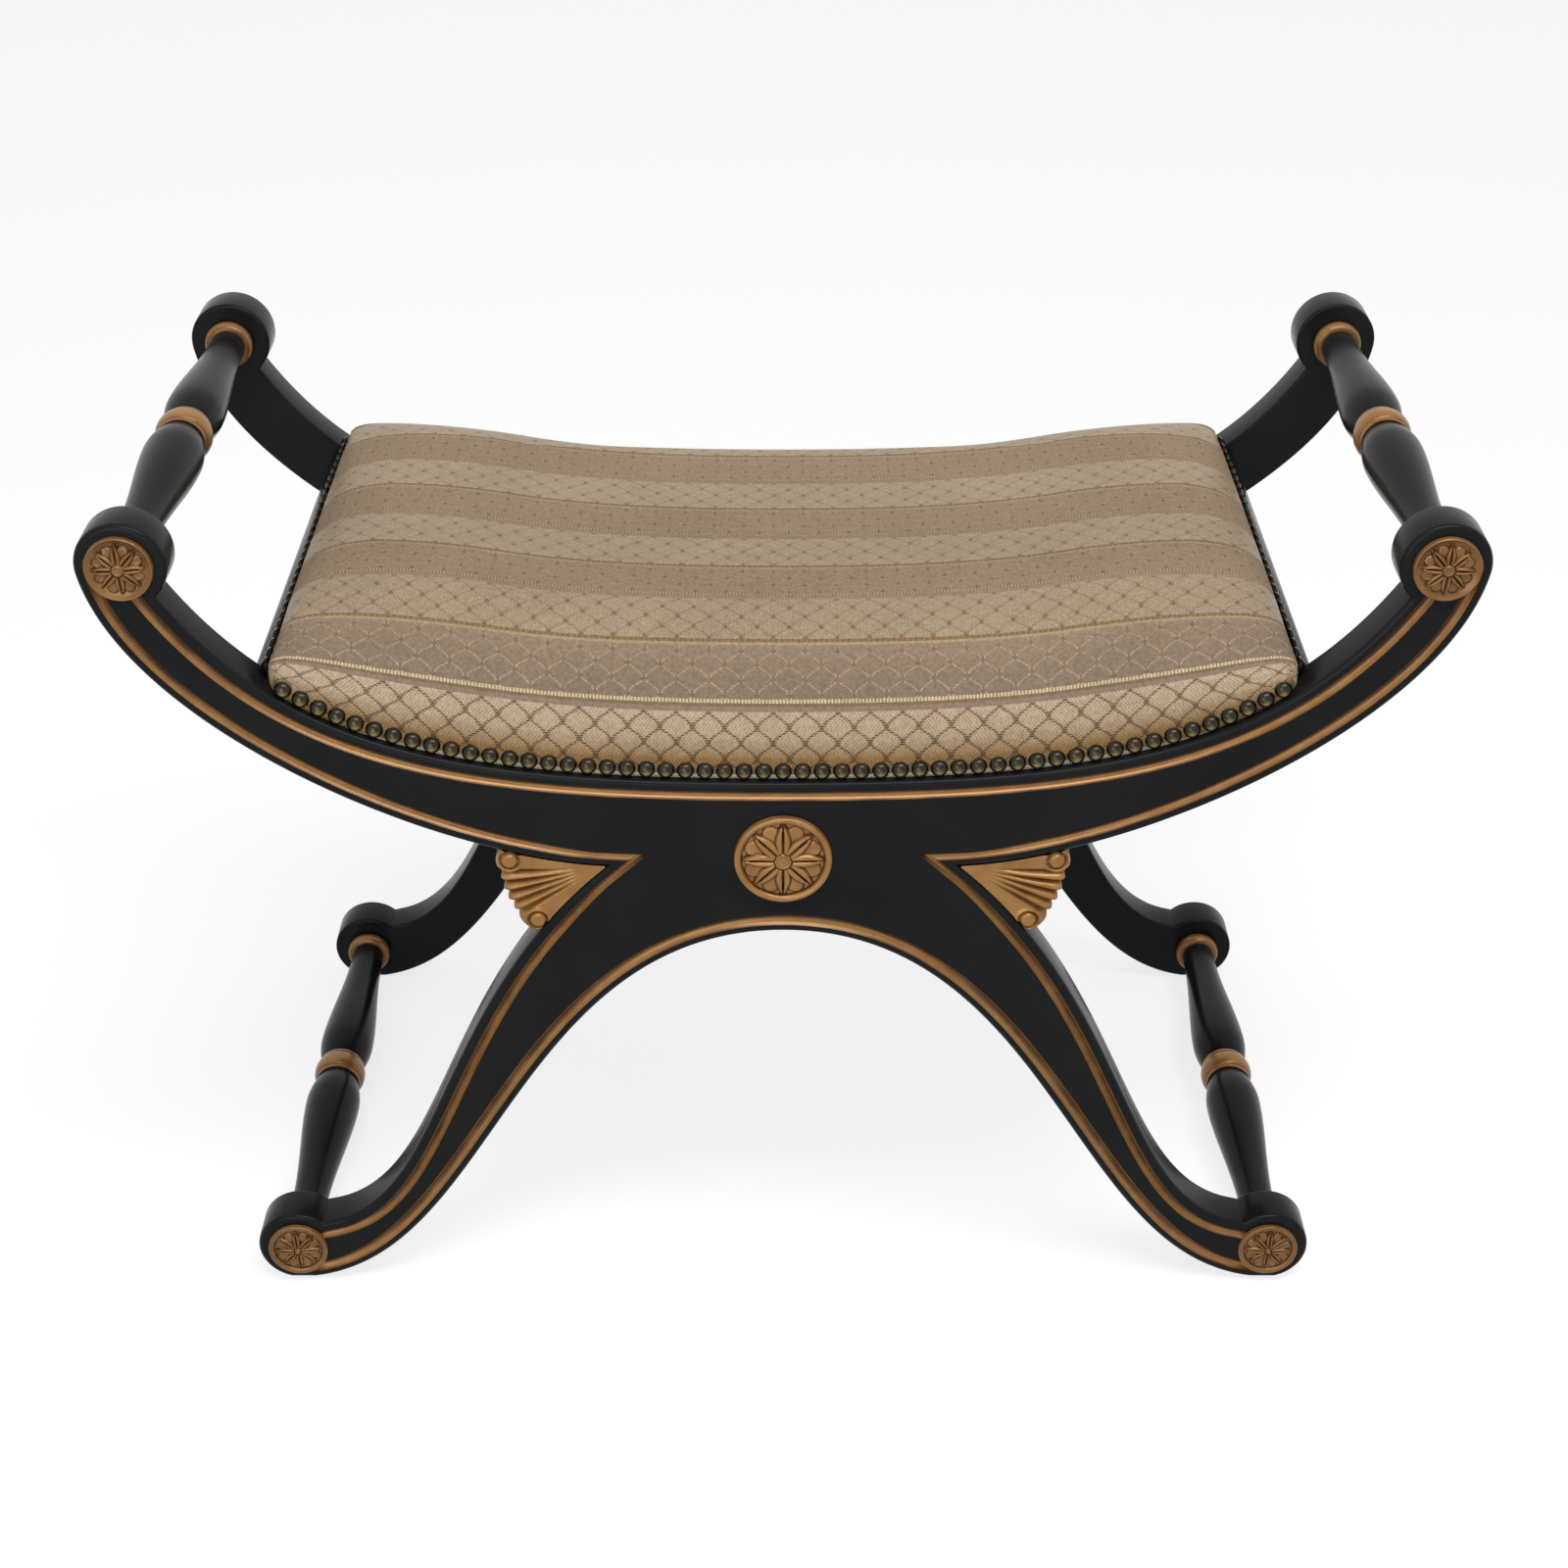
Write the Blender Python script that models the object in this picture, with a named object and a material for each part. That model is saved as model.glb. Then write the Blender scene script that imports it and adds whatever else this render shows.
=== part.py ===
"""X-frame bench: two sawn frames, four turned rails and an upholstered seat. Metres, +Z up, front at -Y."""
import math

import bmesh
import bpy

# Layout of the two frames
ARM_SPAN = 0.810
FOOT_SPAN = 0.688
FRAME_GAP = 0.351
FRAME_THICKNESS = 0.030
ARM_DISC_RADIUS = 0.0285
FOOT_DISC_RADIUS = 0.0285

# Heights, measured up the middle of a frame
LIP_HEIGHT = 0.4115
BOW_DEPTH = 0.0625
WAIST_DEPTH = 0.0507
ARM_RISE = 0.1525
NOTCH_HALF_WIDTH = 0.114

# Curve handles: lengths, and directions in degrees from +X
BOW_TOP_PULL = 0.2095
BOW_TOP_REACH = 0.1535
BOW_TOP_ANGLE = 241.5
BOW_TOP_INSET = 0.005
BOW_TOP_LIFT = 0.003
BOW_LOW_PULL = 0.1124
BOW_LOW_ANGLE = 2.4
BOW_LOW_REACH = 0.1088
BOW_LOW_TANGENT = 9.7
LEG_TOP_PULL = 0.164
LEG_TOP_ANGLE = -41.6
LEG_TOP_REACH = 0.0843
LEG_TOP_END_ANGLE = 167.5
LEG_TOP_INSET = 0.024
LEG_TOP_LIFT = 0.0224
ARCH_PULL = 0.1827
ARCH_REACH = 0.1372
ARCH_TANGENT = 3.6
CURVE_STEPS = 20
ARC_STEPS = 18

# Seat
ARM_OVERHANG = 0.074
LIP_WIDTH = 0.008
RIDGE_HEIGHT = 0.012
SIDE_RAIL_WIDTH = 0.022
SIDE_RAIL_DEPTH = 0.013
COVER_THICKNESS = 0.0015
SKIRT_HEIGHT = 0.020
CROWN_HEIGHT = 0.0625
FRONT_ROLL = 0.100
BACK_ROLL = 0.070
END_ROLL = 0.100
ROLL_STEPS = 5
LENGTH_STEPS = 6
DEPTH_STEPS = 3
STRAP_COUNT = 7
STRAP_PITCH = 0.085
STRAP_WIDTH = 0.050
STRAP_THICKNESS = 0.0015
HESSIAN_THICKNESS = 0.001
TACKING_MARGIN = 0.003
GLUE_BLOCK_SIZE = 0.040
GLUE_BLOCK_HEIGHT = 0.0115
GLUE_BLOCK_NOSE = 0.006
GLUE_BLOCK_DROP = 0.002

# Nail strips
NAIL_RADIUS = 0.0053
NAIL_PITCH = 0.0125
NAIL_DOME = 0.004
NAIL_LINK_RADIUS = 0.002
NAIL_LINK_DOME = 0.001
NAIL_LIFT = 0.0008
NAIL_CREST_SHARE = 0.5

# Turned rails
RAIL_COLLAR_RADIUS = 0.0165
RAIL_COLLAR_WIDTH = 0.008
RAIL_COLLAR_FLAT = 0.0056
RAIL_NECK_RADIUS = 0.0122
RAIL_SWELL_RADIUS = 0.020
RAIL_SWELL_OFFSET = 0.036
RAIL_RING_RADIUS = 0.0188
RAIL_RING_HALF_WIDTH = 0.013
RAIL_GROOVE_RADIUS = 0.0172
RAIL_TENON_RADIUS = 0.008
RAIL_TENON_LENGTH = 0.015
RAIL_TAPER_POWER = 1.5
RAIL_TAPER_STEPS = 6
RAIL_SEGMENTS = 16

# Carved ornament
ROSETTE_RADIUS = 0.021
CENTRE_ROSETTE_RADIUS = 0.032
CENTRE_ROSETTE_DROP = 0.0555
ROSETTE_RIM_HEIGHT = 0.004
ROSETTE_FIELD_HEIGHT = 0.0022
ROSETTE_PETAL_HEIGHT = 0.0038
ROSETTE_BUTTON_HEIGHT = 0.0046
ROSETTE_PETALS = 8
ROSETTE_RIM_SHARE = 0.93
ROSETTE_FIELD_SHARE = 0.84
ROSETTE_PETAL_SHARE = 0.55
ROSETTE_HEART_SHARE = 0.24
ROSETTE_BUTTON_SHARE = 0.16
ROSETTE_EDGE_HEIGHT = 0.0032
PEG_RADIUS = 0.003
PEG_LENGTH = 0.008
FAN_RADIUS = 0.0745
FAN_SCALLOP_DEPTH = 0.0025
FAN_SCALLOPS = 5
FAN_THICKNESS = 0.022
FAN_INSET = 0.001
FAN_SCALLOP_STEPS = 4

# Frame joints
TENON_THICKNESS = 0.010
ARM_JOINT_OFFSET = 0.014
ARM_TENON_LENGTH = 0.020
ARM_TENON_HEIGHT = 0.014
LEG_TENON_OFFSET = 0.055
LEG_TENON_WIDTH = 0.040
LEG_TENON_LENGTH = 0.025
SPLINE_HEIGHT = 0.020
SPLINE_LENGTH = 0.028
SIDE_TENON_WIDTH = 0.012
SIDE_TENON_HEIGHT = 0.009
SIDE_TENON_LENGTH = 0.012
SIDE_TENON_DROP = 0.003
TENON_ROOT = 0.004

# Feet
GLIDE_RADIUS = 0.0070
GLIDE_HEIGHT = 0.0022
GLIDE_SHANK_RADIUS = 0.0015
GLIDE_SHANK_LENGTH = 0.010
FOOT_FLAT_DEPTH = 0.001

GAP = 0.0003
SLOPE_STEP = 0.002
SMOOTH_ANGLE = 35

# Places that follow from the sizes above
HALF_DEPTH = FRAME_GAP / 2 + FRAME_THICKNESS
INNER_FACE = FRAME_GAP / 2
ARM_X = ARM_SPAN / 2
FOOT_X = FOOT_SPAN / 2
ARM_Z = LIP_HEIGHT + ARM_RISE
FOOT_FLAT = GLIDE_HEIGHT + GAP
FOOT_Z = FOOT_FLAT - FOOT_FLAT_DEPTH + FOOT_DISC_RADIUS
NOTCH = (NOTCH_HALF_WIDTH, LIP_HEIGHT - BOW_DEPTH)
ARCH_TOP = NOTCH[1] - WAIST_DEPTH
SEAT_HALF = ARM_X - ARM_OVERHANG
RIDGE_END = SEAT_HALF - LIP_WIDTH
RIDGE_FRONT = HALF_DEPTH - LIP_WIDTH
SIDE_RAIL_INNER = SEAT_HALF - SIDE_RAIL_WIDTH

LACQUER = ("black_lacquer", (0.012, 0.013, 0.013), 0.35, 0.0)
GILT = ("gilt", (0.50, 0.27, 0.10), 0.42, 0.3)
BRONZE = ("nail_bronze", (0.10, 0.085, 0.055), 0.3, 0.9)
COVER = ("cover_fabric", (0.42, 0.32, 0.21), 0.9, 0.0)
FOAM = ("foam", (0.75, 0.66, 0.42), 0.95, 0.0)
JUTE = ("jute", (0.38, 0.25, 0.12), 0.95, 0.0)
BEECH = ("beech", (0.55, 0.36, 0.19), 0.7, 0.0)
GLIDE = ("glide_nylon", (0.16, 0.14, 0.12), 0.5, 0.0)


def clear_scene():
    for item in list(bpy.data.objects):
        bpy.data.objects.remove(item, do_unlink=True)


def material(finish):
    name, colour, roughness, metallic = finish
    found = bpy.data.materials.get(name)
    if found:
        return found
    made = bpy.data.materials.new(name)
    made.use_nodes = True
    shader = made.node_tree.nodes["Principled BSDF"]
    shader.inputs["Base Color"].default_value = (*colour, 1.0)
    shader.inputs["Roughness"].default_value = roughness
    shader.inputs["Metallic"].default_value = metallic
    return made


def solid(name, points, faces, finish, smooth=False):
    mesh = bpy.data.meshes.new(name)
    mesh.from_pydata(points, [], faces)
    work = bmesh.new()
    work.from_mesh(mesh)
    bmesh.ops.recalc_face_normals(work, faces=work.faces)
    work.to_mesh(mesh)
    work.free()
    if smooth:
        mesh.shade_smooth()
        mesh.set_sharp_from_angle(angle=math.radians(SMOOTH_ANGLE))
    made = bpy.data.objects.new(name, mesh)
    bpy.context.collection.objects.link(made)
    if finish:
        made.data.materials.append(material(finish))
    return made


def combine(target, tool, operation):
    tool.hide_render = True
    tool.display_type = 'WIRE'
    step = target.modifiers.new(operation.lower(), 'BOOLEAN')
    step.operation = operation
    step.solver = 'EXACT'
    step.object = tool


def away(point, length, degrees):
    turn = math.radians(degrees)
    return point[0] + length * math.cos(turn), point[1] + length * math.sin(turn)


def bezier(start, first, second, end, steps=CURVE_STEPS):
    points = []
    for i in range(steps + 1):
        t = i / steps
        s = 1 - t
        weights = (s ** 3, 3 * s * s * t, 3 * s * t * t, t ** 3)
        corners = (start, first, second, end)
        points.append(tuple(sum(w * c[k] for w, c in zip(weights, corners)) for k in range(2)))
    return points


def distance(a, b):
    return math.hypot(a[0] - b[0], a[1] - b[1])


def between(a, b, share):
    return a[0] + (b[0] - a[0]) * share, a[1] + (b[1] - a[1]) * share


def until_circle(points, centre, radius):
    """Points up to the place where the line crosses the circle, with the crossing as the last point."""
    outside = distance(points[0], centre) > radius
    kept = [points[0]]
    for a, b in zip(points, points[1:]):
        if (distance(b, centre) > radius) == outside:
            kept.append(b)
            continue
        low, high = 0.0, 1.0
        for _ in range(40):
            middle = (low + high) / 2
            if (distance(between(a, b, middle), centre) > radius) == outside:
                low = middle
            else:
                high = middle
        kept.append(between(a, b, low))
        break
    return kept


def arc_round(centre, radius, start, end, floor=None):
    """Points clockwise round a disc from start to end, both left out, cut flat at the floor height."""
    first = math.atan2(start[1] - centre[1], start[0] - centre[0])
    last = math.atan2(end[1] - centre[1], end[0] - centre[0])
    while last >= first:
        last -= 2 * math.pi
    points = []
    for i in range(1, ARC_STEPS):
        turn = first + (last - first) * i / ARC_STEPS
        points.append((centre[0] + radius * math.cos(turn), centre[1] + radius * math.sin(turn)))
    if floor is None:
        return points
    run = math.sqrt(radius ** 2 - (centre[1] - floor) ** 2)
    return [p for p in points if p[1] > floor] + [(centre[0] + run, floor)]


def until_floor(points, floor):
    """Points down to the place where a falling line meets the floor height."""
    kept = [points[0]]
    for a, b in zip(points, points[1:]):
        if b[1] <= floor:
            return kept + [between(a, b, (a[1] - floor) / (a[1] - b[1]))]
        kept.append(b)
    return kept


def bow_top():
    end = (ARM_X - BOW_TOP_INSET, ARM_Z + BOW_TOP_LIFT)
    handle = away(end, BOW_TOP_REACH, BOW_TOP_ANGLE)
    return bezier((0, LIP_HEIGHT), (BOW_TOP_PULL, LIP_HEIGHT), handle, end)


def bow_low():
    end = away((ARM_X, ARM_Z), ARM_DISC_RADIUS, -BOW_LOW_TANGENT)
    handle = away(end, BOW_LOW_REACH, -90 - BOW_LOW_TANGENT)
    return bezier(NOTCH, away(NOTCH, BOW_LOW_PULL, BOW_LOW_ANGLE), handle, end)


def leg_top():
    """Upper edge of a leg: a curve that ends short of the foot disc, then straight on into it."""
    end = (FOOT_X - LEG_TOP_INSET, FOOT_Z + LEG_TOP_LIFT)
    handle = away(end, LEG_TOP_REACH, LEG_TOP_END_ANGLE)
    curve = bezier(NOTCH, away(NOTCH, LEG_TOP_PULL, LEG_TOP_ANGLE), handle, end)
    return curve + [away(end, FOOT_DISC_RADIUS, LEG_TOP_END_ANGLE - 180)]


def arch():
    end = away((FOOT_X, FOOT_Z), FOOT_DISC_RADIUS, -90 - ARCH_TANGENT)
    handle = away(end, ARCH_REACH, 180 - ARCH_TANGENT)
    return bezier((0, ARCH_TOP), (ARCH_PULL, ARCH_TOP), handle, end)


BOW_TOP = bow_top()
BOW_LOW = bow_low()
LEG_TOP = leg_top()
ARCH = arch()


def lip(x):
    """Height of the bow's top edge at a distance x from the middle."""
    x = abs(x)
    for a, b in zip(BOW_TOP, BOW_TOP[1:]):
        if x <= b[0]:
            return a[1] + (b[1] - a[1]) * (x - a[0]) / (b[0] - a[0])
    return BOW_TOP[-1][1]


def lip_slope(x):
    return (lip(x + SLOPE_STEP) - lip(x - SLOPE_STEP)) / (2 * SLOPE_STEP)


def lip_stations(half):
    """Places along X, from -half to half, where the bow's top edge has a point."""
    right = [p[0] for p in BOW_TOP if 0 < p[0] < half]
    return [-half] + [-x for x in reversed(right)] + [0.0] + right + [half]


def mirrored(points):
    return [(-x, z) for x, z in reversed(points)]


def plate(name, outline, near, far, finish):
    count = len(outline)
    points = [(x, near, z) for x, z in outline] + [(x, far, z) for x, z in outline]
    faces = [tuple(range(count)), tuple(range(2 * count - 1, count - 1, -1))]
    for i in range(count):
        j = (i + 1) % count
        faces.append((i, j, count + j, count + i))
    return solid(name, points, faces, finish)


def box(name, low, high, finish=None):
    points = [(x, y, z) for x in (low[0], high[0]) for y in (low[1], high[1]) for z in (low[2], high[2])]
    faces = [(0, 1, 3, 2), (4, 6, 7, 5), (0, 4, 5, 1), (2, 3, 7, 6), (0, 2, 6, 4), (1, 5, 7, 3)]
    return solid(name, points, faces, finish)


def turned(name, rings, place, finish, segments):
    """A closed turned solid. Each ring is (radius, distance along the axis, ripple), place puts a point."""
    points = []
    for radius, along, ripple in rings:
        for k in range(segments):
            turn = 2 * math.pi * k / segments
            lift = ripple * math.cos(ROSETTE_PETALS * turn) if ripple else 0.0
            points.append(place(radius * math.cos(turn), radius * math.sin(turn), along + lift))
    faces = [tuple(range(segments))]
    for i in range(len(rings) - 1):
        for k in range(segments):
            j = (k + 1) % segments
            low, high = i * segments, (i + 1) * segments
            faces.append((low + k, low + j, high + j, high + k))
    last = (len(rings) - 1) * segments
    faces.append(tuple(range(last + segments - 1, last - 1, -1)))
    return solid(name, points, faces, finish, smooth=True)


def along_y(x, z, y, way):
    """Placing function for a solid turned about a line along Y, from y in the direction way."""
    return lambda a, b, s: (x + a, y + way * s, z + b)


def hole(name, x, z, y, way, radius, depth):
    """Cutter for a round blind hole that starts just outside the face at y."""
    rings = [(radius, -TENON_ROOT, 0), (radius, depth, 0)]
    return turned(name, rings, along_y(x, z, y, way), None, RAIL_SEGMENTS)


def arm_joint():
    """Top and bottom points of the joint between seat rail and arm, square to the bow."""
    x = SEAT_HALF + ARM_JOINT_OFFSET
    top = (x, lip(x))
    slope = lip_slope(x)
    length = math.hypot(1, slope)
    down = (slope / length, -1 / length)
    for a, b in zip(BOW_LOW, BOW_LOW[1:]):
        side_a = (a[0] - top[0]) * down[1] - (a[1] - top[1]) * down[0]
        side_b = (b[0] - top[0]) * down[1] - (b[1] - top[1]) * down[0]
        if side_a * side_b <= 0 and b[0] > x:
            return top, between(a, b, side_a / (side_a - side_b))
    return top, BOW_LOW[-1]


JOINT_TOP, JOINT_LOW = arm_joint()


def arm_tenon(name, mirror, middle, slack, root):
    """Tenon that runs from the arm's joint face along the bow into the seat rail."""
    across = distance(JOINT_TOP, JOINT_LOW)
    down = ((JOINT_LOW[0] - JOINT_TOP[0]) / across, (JOINT_LOW[1] - JOINT_TOP[1]) / across)
    inward = (down[1], -down[0])
    centre = between(JOINT_TOP, JOINT_LOW, 0.5)
    half = ARM_TENON_HEIGHT / 2 + slack
    reach = ARM_TENON_LENGTH + slack
    corners = []
    for run, rise in ((-root, -half), (reach, -half), (reach, half), (-root, half)):
        x = centre[0] + inward[0] * run + down[0] * rise
        z = centre[1] + inward[1] * run + down[1] * rise
        corners.append((mirror * x, z))
    thick = TENON_THICKNESS / 2 + slack
    return plate(name, corners, middle - thick, middle + thick, None)


def leg_tenon(name, mirror, middle, slack, root):
    x = mirror * LEG_TENON_OFFSET
    half = LEG_TENON_WIDTH / 2 + slack
    thick = TENON_THICKNESS / 2 + slack
    low = (x - half, middle - thick, NOTCH[1] - root)
    high = (x + half, middle + thick, NOTCH[1] + LEG_TENON_LENGTH + slack)
    return box(name, low, high)


def leg_spline(name, middle, slack, finish=None):
    """Loose spline across the joint of the two legs, or with slack the cutter for its mortises."""
    z = (NOTCH[1] + ARCH_TOP) / 2
    run = SPLINE_LENGTH / 2 + slack
    half = SPLINE_HEIGHT / 2 + slack
    thick = TENON_THICKNESS / 2 + slack
    return box(name, (-run, middle - thick, z - half), (run, middle + thick, z + half), finish)


def side_tenon(name, mirror, side, slack, root):
    """Flat tenon of a side rail, which slopes with the bow."""
    middle = (SEAT_HALF + SIDE_RAIL_INNER) / 2
    half = SIDE_TENON_WIDTH / 2 + slack
    corners = []
    for x, drop in ((middle - half, 0), (middle + half, 0), (middle + half, 1), (middle - half, 1)):
        depth = SIDE_TENON_HEIGHT + slack if drop else -slack
        corners.append((mirror * x, lip(x) - SIDE_TENON_DROP - depth))
    end = INNER_FACE + SIDE_TENON_LENGTH + slack
    return plate(name, corners, side * (INNER_FACE - root), side * end, None)


def make_seat_rail(frame, side):
    """Bowed rail with a lip in front and a higher tacking ridge behind it, as one stepped solid."""
    outer, step, inner = side * HALF_DEPTH, side * RIDGE_FRONT, side * INNER_FACE
    lip_points = [(x, lip(x)) for x in lip_stations(JOINT_TOP[0])]
    under = [p for p in BOW_LOW if p[0] < JOINT_LOW[0]] + [JOINT_LOW]
    start = next(i for i, p in enumerate(lip_points) if p[0] > -RIDGE_END)
    lip_points.insert(start, (-RIDGE_END, lip(RIDGE_END)))
    stop = next(i for i, p in enumerate(lip_points) if p[0] > RIDGE_END)
    lip_points.insert(stop, (RIDGE_END, lip(RIDGE_END)))
    raised = [(x, z + RIDGE_HEIGHT) for x, z in lip_points[start:stop + 1]]
    lower = list(reversed(under)) + mirrored(list(reversed(under)))
    front = lip_points + lower
    back = lip_points[:start + 1] + raised + lip_points[stop:] + lower
    count, deep = len(front), len(back)
    points = [(x, outer, z) for x, z in front] + [(x, step, z) for x, z in front]
    ridge = len(points)
    points += [(x, step, z) for x, z in raised]
    rear = len(points)
    points += [(x, inner, z) for x, z in back]
    shared = [count + i for i in range(start + 1)] + [ridge + i for i in range(len(raised))]
    shared += [count + i for i in range(stop, count)]
    faces = [tuple(range(count)), tuple(range(rear + deep - 1, rear - 1, -1))]
    for i in range(count):
        j = (i + 1) % count
        faces.append((i, j, count + j, count + i))
    for i in range(deep):
        j = (i + 1) % deep
        faces.append((shared[i], shared[j], rear + j, rear + i))
    for i in range(len(raised) - 1):
        faces.append((count + start + i, count + start + i + 1, ridge + i + 1, ridge + i))
    rail = solid(frame + "_seat_rail", points, faces, LACQUER)
    middle = side * (HALF_DEPTH - FRAME_THICKNESS / 2)
    for mirror, hand in ((-1, "left"), (1, "right")):
        tag = frame + "_" + hand
        combine(rail, arm_tenon(tag + "_arm_mortise", mirror, middle, GAP, TENON_ROOT), 'DIFFERENCE')
        combine(rail, leg_tenon(tag + "_leg_mortise", mirror, middle, GAP, TENON_ROOT), 'DIFFERENCE')
        combine(rail, side_tenon(tag + "_side_mortise", mirror, side, GAP, TENON_ROOT), 'DIFFERENCE')
    centre_z = LIP_HEIGHT - CENTRE_ROSETTE_DROP
    peg = hole(frame + "_centre_peg_hole", 0, centre_z, outer, -side, PEG_RADIUS + GAP, PEG_LENGTH + GAP)
    combine(rail, peg, 'DIFFERENCE')


def disc_holes(tag, body, x, z, side):
    """Blind holes in a disc: one inside for the turned rail, one outside for the rosette's peg."""
    inside = hole(tag + "_rail_hole", x, z, side * INNER_FACE, side, RAIL_TENON_RADIUS + GAP,
                  RAIL_TENON_LENGTH + GAP)
    outside = hole(tag + "_peg_hole", x, z, side * HALF_DEPTH, -side, PEG_RADIUS + GAP, PEG_LENGTH + GAP)
    combine(body, inside, 'DIFFERENCE')
    combine(body, outside, 'DIFFERENCE')


def make_arm(frame, side, hand, mirror):
    centre = (ARM_X, ARM_Z)
    slope = lip_slope(JOINT_TOP[0])
    shift = (GAP / math.hypot(1, slope), GAP * slope / math.hypot(1, slope))
    first = (JOINT_TOP[0] + shift[0], JOINT_TOP[1] + shift[1])
    last = (JOINT_LOW[0] + shift[0], JOINT_LOW[1] + shift[1])
    upper = [first] + [p for p in BOW_TOP if p[0] > first[0]]
    upper = until_circle(upper, centre, ARM_DISC_RADIUS)
    lower = [p for p in BOW_LOW if p[0] > last[0]]
    outline = upper + arc_round(centre, ARM_DISC_RADIUS, upper[-1], lower[-1])
    outline += list(reversed(lower)) + [last]
    if mirror < 0:
        outline = mirrored(outline)
    tag = frame + "_" + hand + "_arm"
    arm = plate(tag, outline, side * INNER_FACE, side * HALF_DEPTH, LACQUER)
    middle = side * (HALF_DEPTH - FRAME_THICKNESS / 2)
    combine(arm, arm_tenon(tag + "_tenon", mirror, middle, 0, TENON_ROOT), 'UNION')
    disc_holes(tag, arm, mirror * ARM_X, ARM_Z, side)


def make_leg(frame, side, hand, mirror):
    centre = (FOOT_X, FOOT_Z)
    top = NOTCH[1] - GAP
    inner = GAP / 2
    upper = until_circle([p for p in LEG_TOP if p[1] < top], centre, FOOT_DISC_RADIUS)
    corner = between(LEG_TOP[0], LEG_TOP[1], GAP / (LEG_TOP[0][1] - LEG_TOP[1][1]))
    lower = [p for p in until_floor(ARCH, FOOT_FLAT) if p[0] > inner]
    outline = [(inner, top), corner] + upper
    outline += arc_round(centre, FOOT_DISC_RADIUS, upper[-1], ARCH[-1], FOOT_FLAT)
    outline += list(reversed(lower)) + [(inner, ARCH_TOP)]
    if mirror < 0:
        outline = mirrored(outline)
    tag = frame + "_" + hand + "_leg"
    leg = plate(tag, outline, side * INNER_FACE, side * HALF_DEPTH, LACQUER)
    middle = side * (HALF_DEPTH - FRAME_THICKNESS / 2)
    combine(leg, leg_tenon(tag + "_tenon", mirror, middle, 0, TENON_ROOT), 'UNION')
    combine(leg, leg_spline(tag + "_spline_mortise", middle, GAP), 'DIFFERENCE')
    disc_holes(tag, leg, mirror * FOOT_X, FOOT_Z, side)
    bore = GLIDE_SHANK_RADIUS + GAP
    shank = [(bore, 0, 0), (bore, FOOT_FLAT + GLIDE_SHANK_LENGTH, 0)]
    place = upright(mirror * FOOT_X, middle)
    combine(leg, turned(tag + "_shank_hole", shank, place, None, RAIL_SEGMENTS // 2), 'DIFFERENCE')


def upright(x, y):
    return lambda a, b, s: (x + a, y + b, s)


def make_glide(name, x, y):
    rings = [(GLIDE_RADIUS, 0, 0), (GLIDE_RADIUS, GLIDE_HEIGHT, 0), (GLIDE_SHANK_RADIUS, GLIDE_HEIGHT, 0),
             (GLIDE_SHANK_RADIUS, GLIDE_HEIGHT + GLIDE_SHANK_LENGTH, 0)]
    turned(name, rings, upright(x, y), GLIDE, RAIL_SEGMENTS)


def rail_profile():
    """Half of a turned rail as (radius, distance from its middle), from the middle to the collar."""
    end = FRAME_GAP / 2 - GAP
    neck = end - 2 * RAIL_COLLAR_WIDTH
    points = [(RAIL_GROOVE_RADIUS, 0.0), (RAIL_RING_RADIUS, RAIL_RING_HALF_WIDTH / 2),
              (RAIL_GROOVE_RADIUS, RAIL_RING_HALF_WIDTH)]
    span = neck - RAIL_SWELL_OFFSET
    points.append((RAIL_SWELL_RADIUS, RAIL_SWELL_OFFSET))
    for i in range(1, RAIL_TAPER_STEPS + 1):
        share = i / RAIL_TAPER_STEPS
        drop = math.sin(math.pi / 2 * share) ** RAIL_TAPER_POWER
        radius = RAIL_SWELL_RADIUS + (RAIL_NECK_RADIUS - RAIL_SWELL_RADIUS) * drop
        points.append((radius, RAIL_SWELL_OFFSET + span * share))
    points.append((RAIL_NECK_RADIUS, end - RAIL_COLLAR_WIDTH))
    points.append((RAIL_COLLAR_RADIUS, end - RAIL_COLLAR_FLAT))
    points.append((RAIL_COLLAR_RADIUS, end))
    points.append((RAIL_TENON_RADIUS, end))
    points.append((RAIL_TENON_RADIUS, end + RAIL_TENON_LENGTH))
    return points


def make_rail(name, x, z):
    half = rail_profile()
    rings = [(r, -s, 0) for r, s in reversed(half)] + [(r, s, 0) for r, s in half[1:]]
    turned(name, rings, along_y(x, z, 0, 1), LACQUER, RAIL_SEGMENTS)


def make_rosette(name, x, z, radius, side):
    """Carved rosette: peg, flat back, raised rim, rippled petals and a button."""
    ripple = ROSETTE_PETAL_HEIGHT - ROSETTE_FIELD_HEIGHT
    rings = [(PEG_RADIUS, -PEG_LENGTH, 0), (PEG_RADIUS, GAP, 0), (radius, GAP, 0),
             (radius, ROSETTE_EDGE_HEIGHT, 0), (radius * ROSETTE_RIM_SHARE, ROSETTE_RIM_HEIGHT, 0),
             (radius * ROSETTE_FIELD_SHARE, ROSETTE_FIELD_HEIGHT, 0),
             (radius * ROSETTE_PETAL_SHARE, ROSETTE_PETAL_HEIGHT, ripple / 2),
             (radius * ROSETTE_HEART_SHARE, ROSETTE_PETAL_HEIGHT, 0),
             (radius * ROSETTE_BUTTON_SHARE, ROSETTE_BUTTON_HEIGHT, 0)]
    turned(name, rings, along_y(x, z, side * HALF_DEPTH, side), GILT, 2 * ROSETTE_PETALS)


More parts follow.
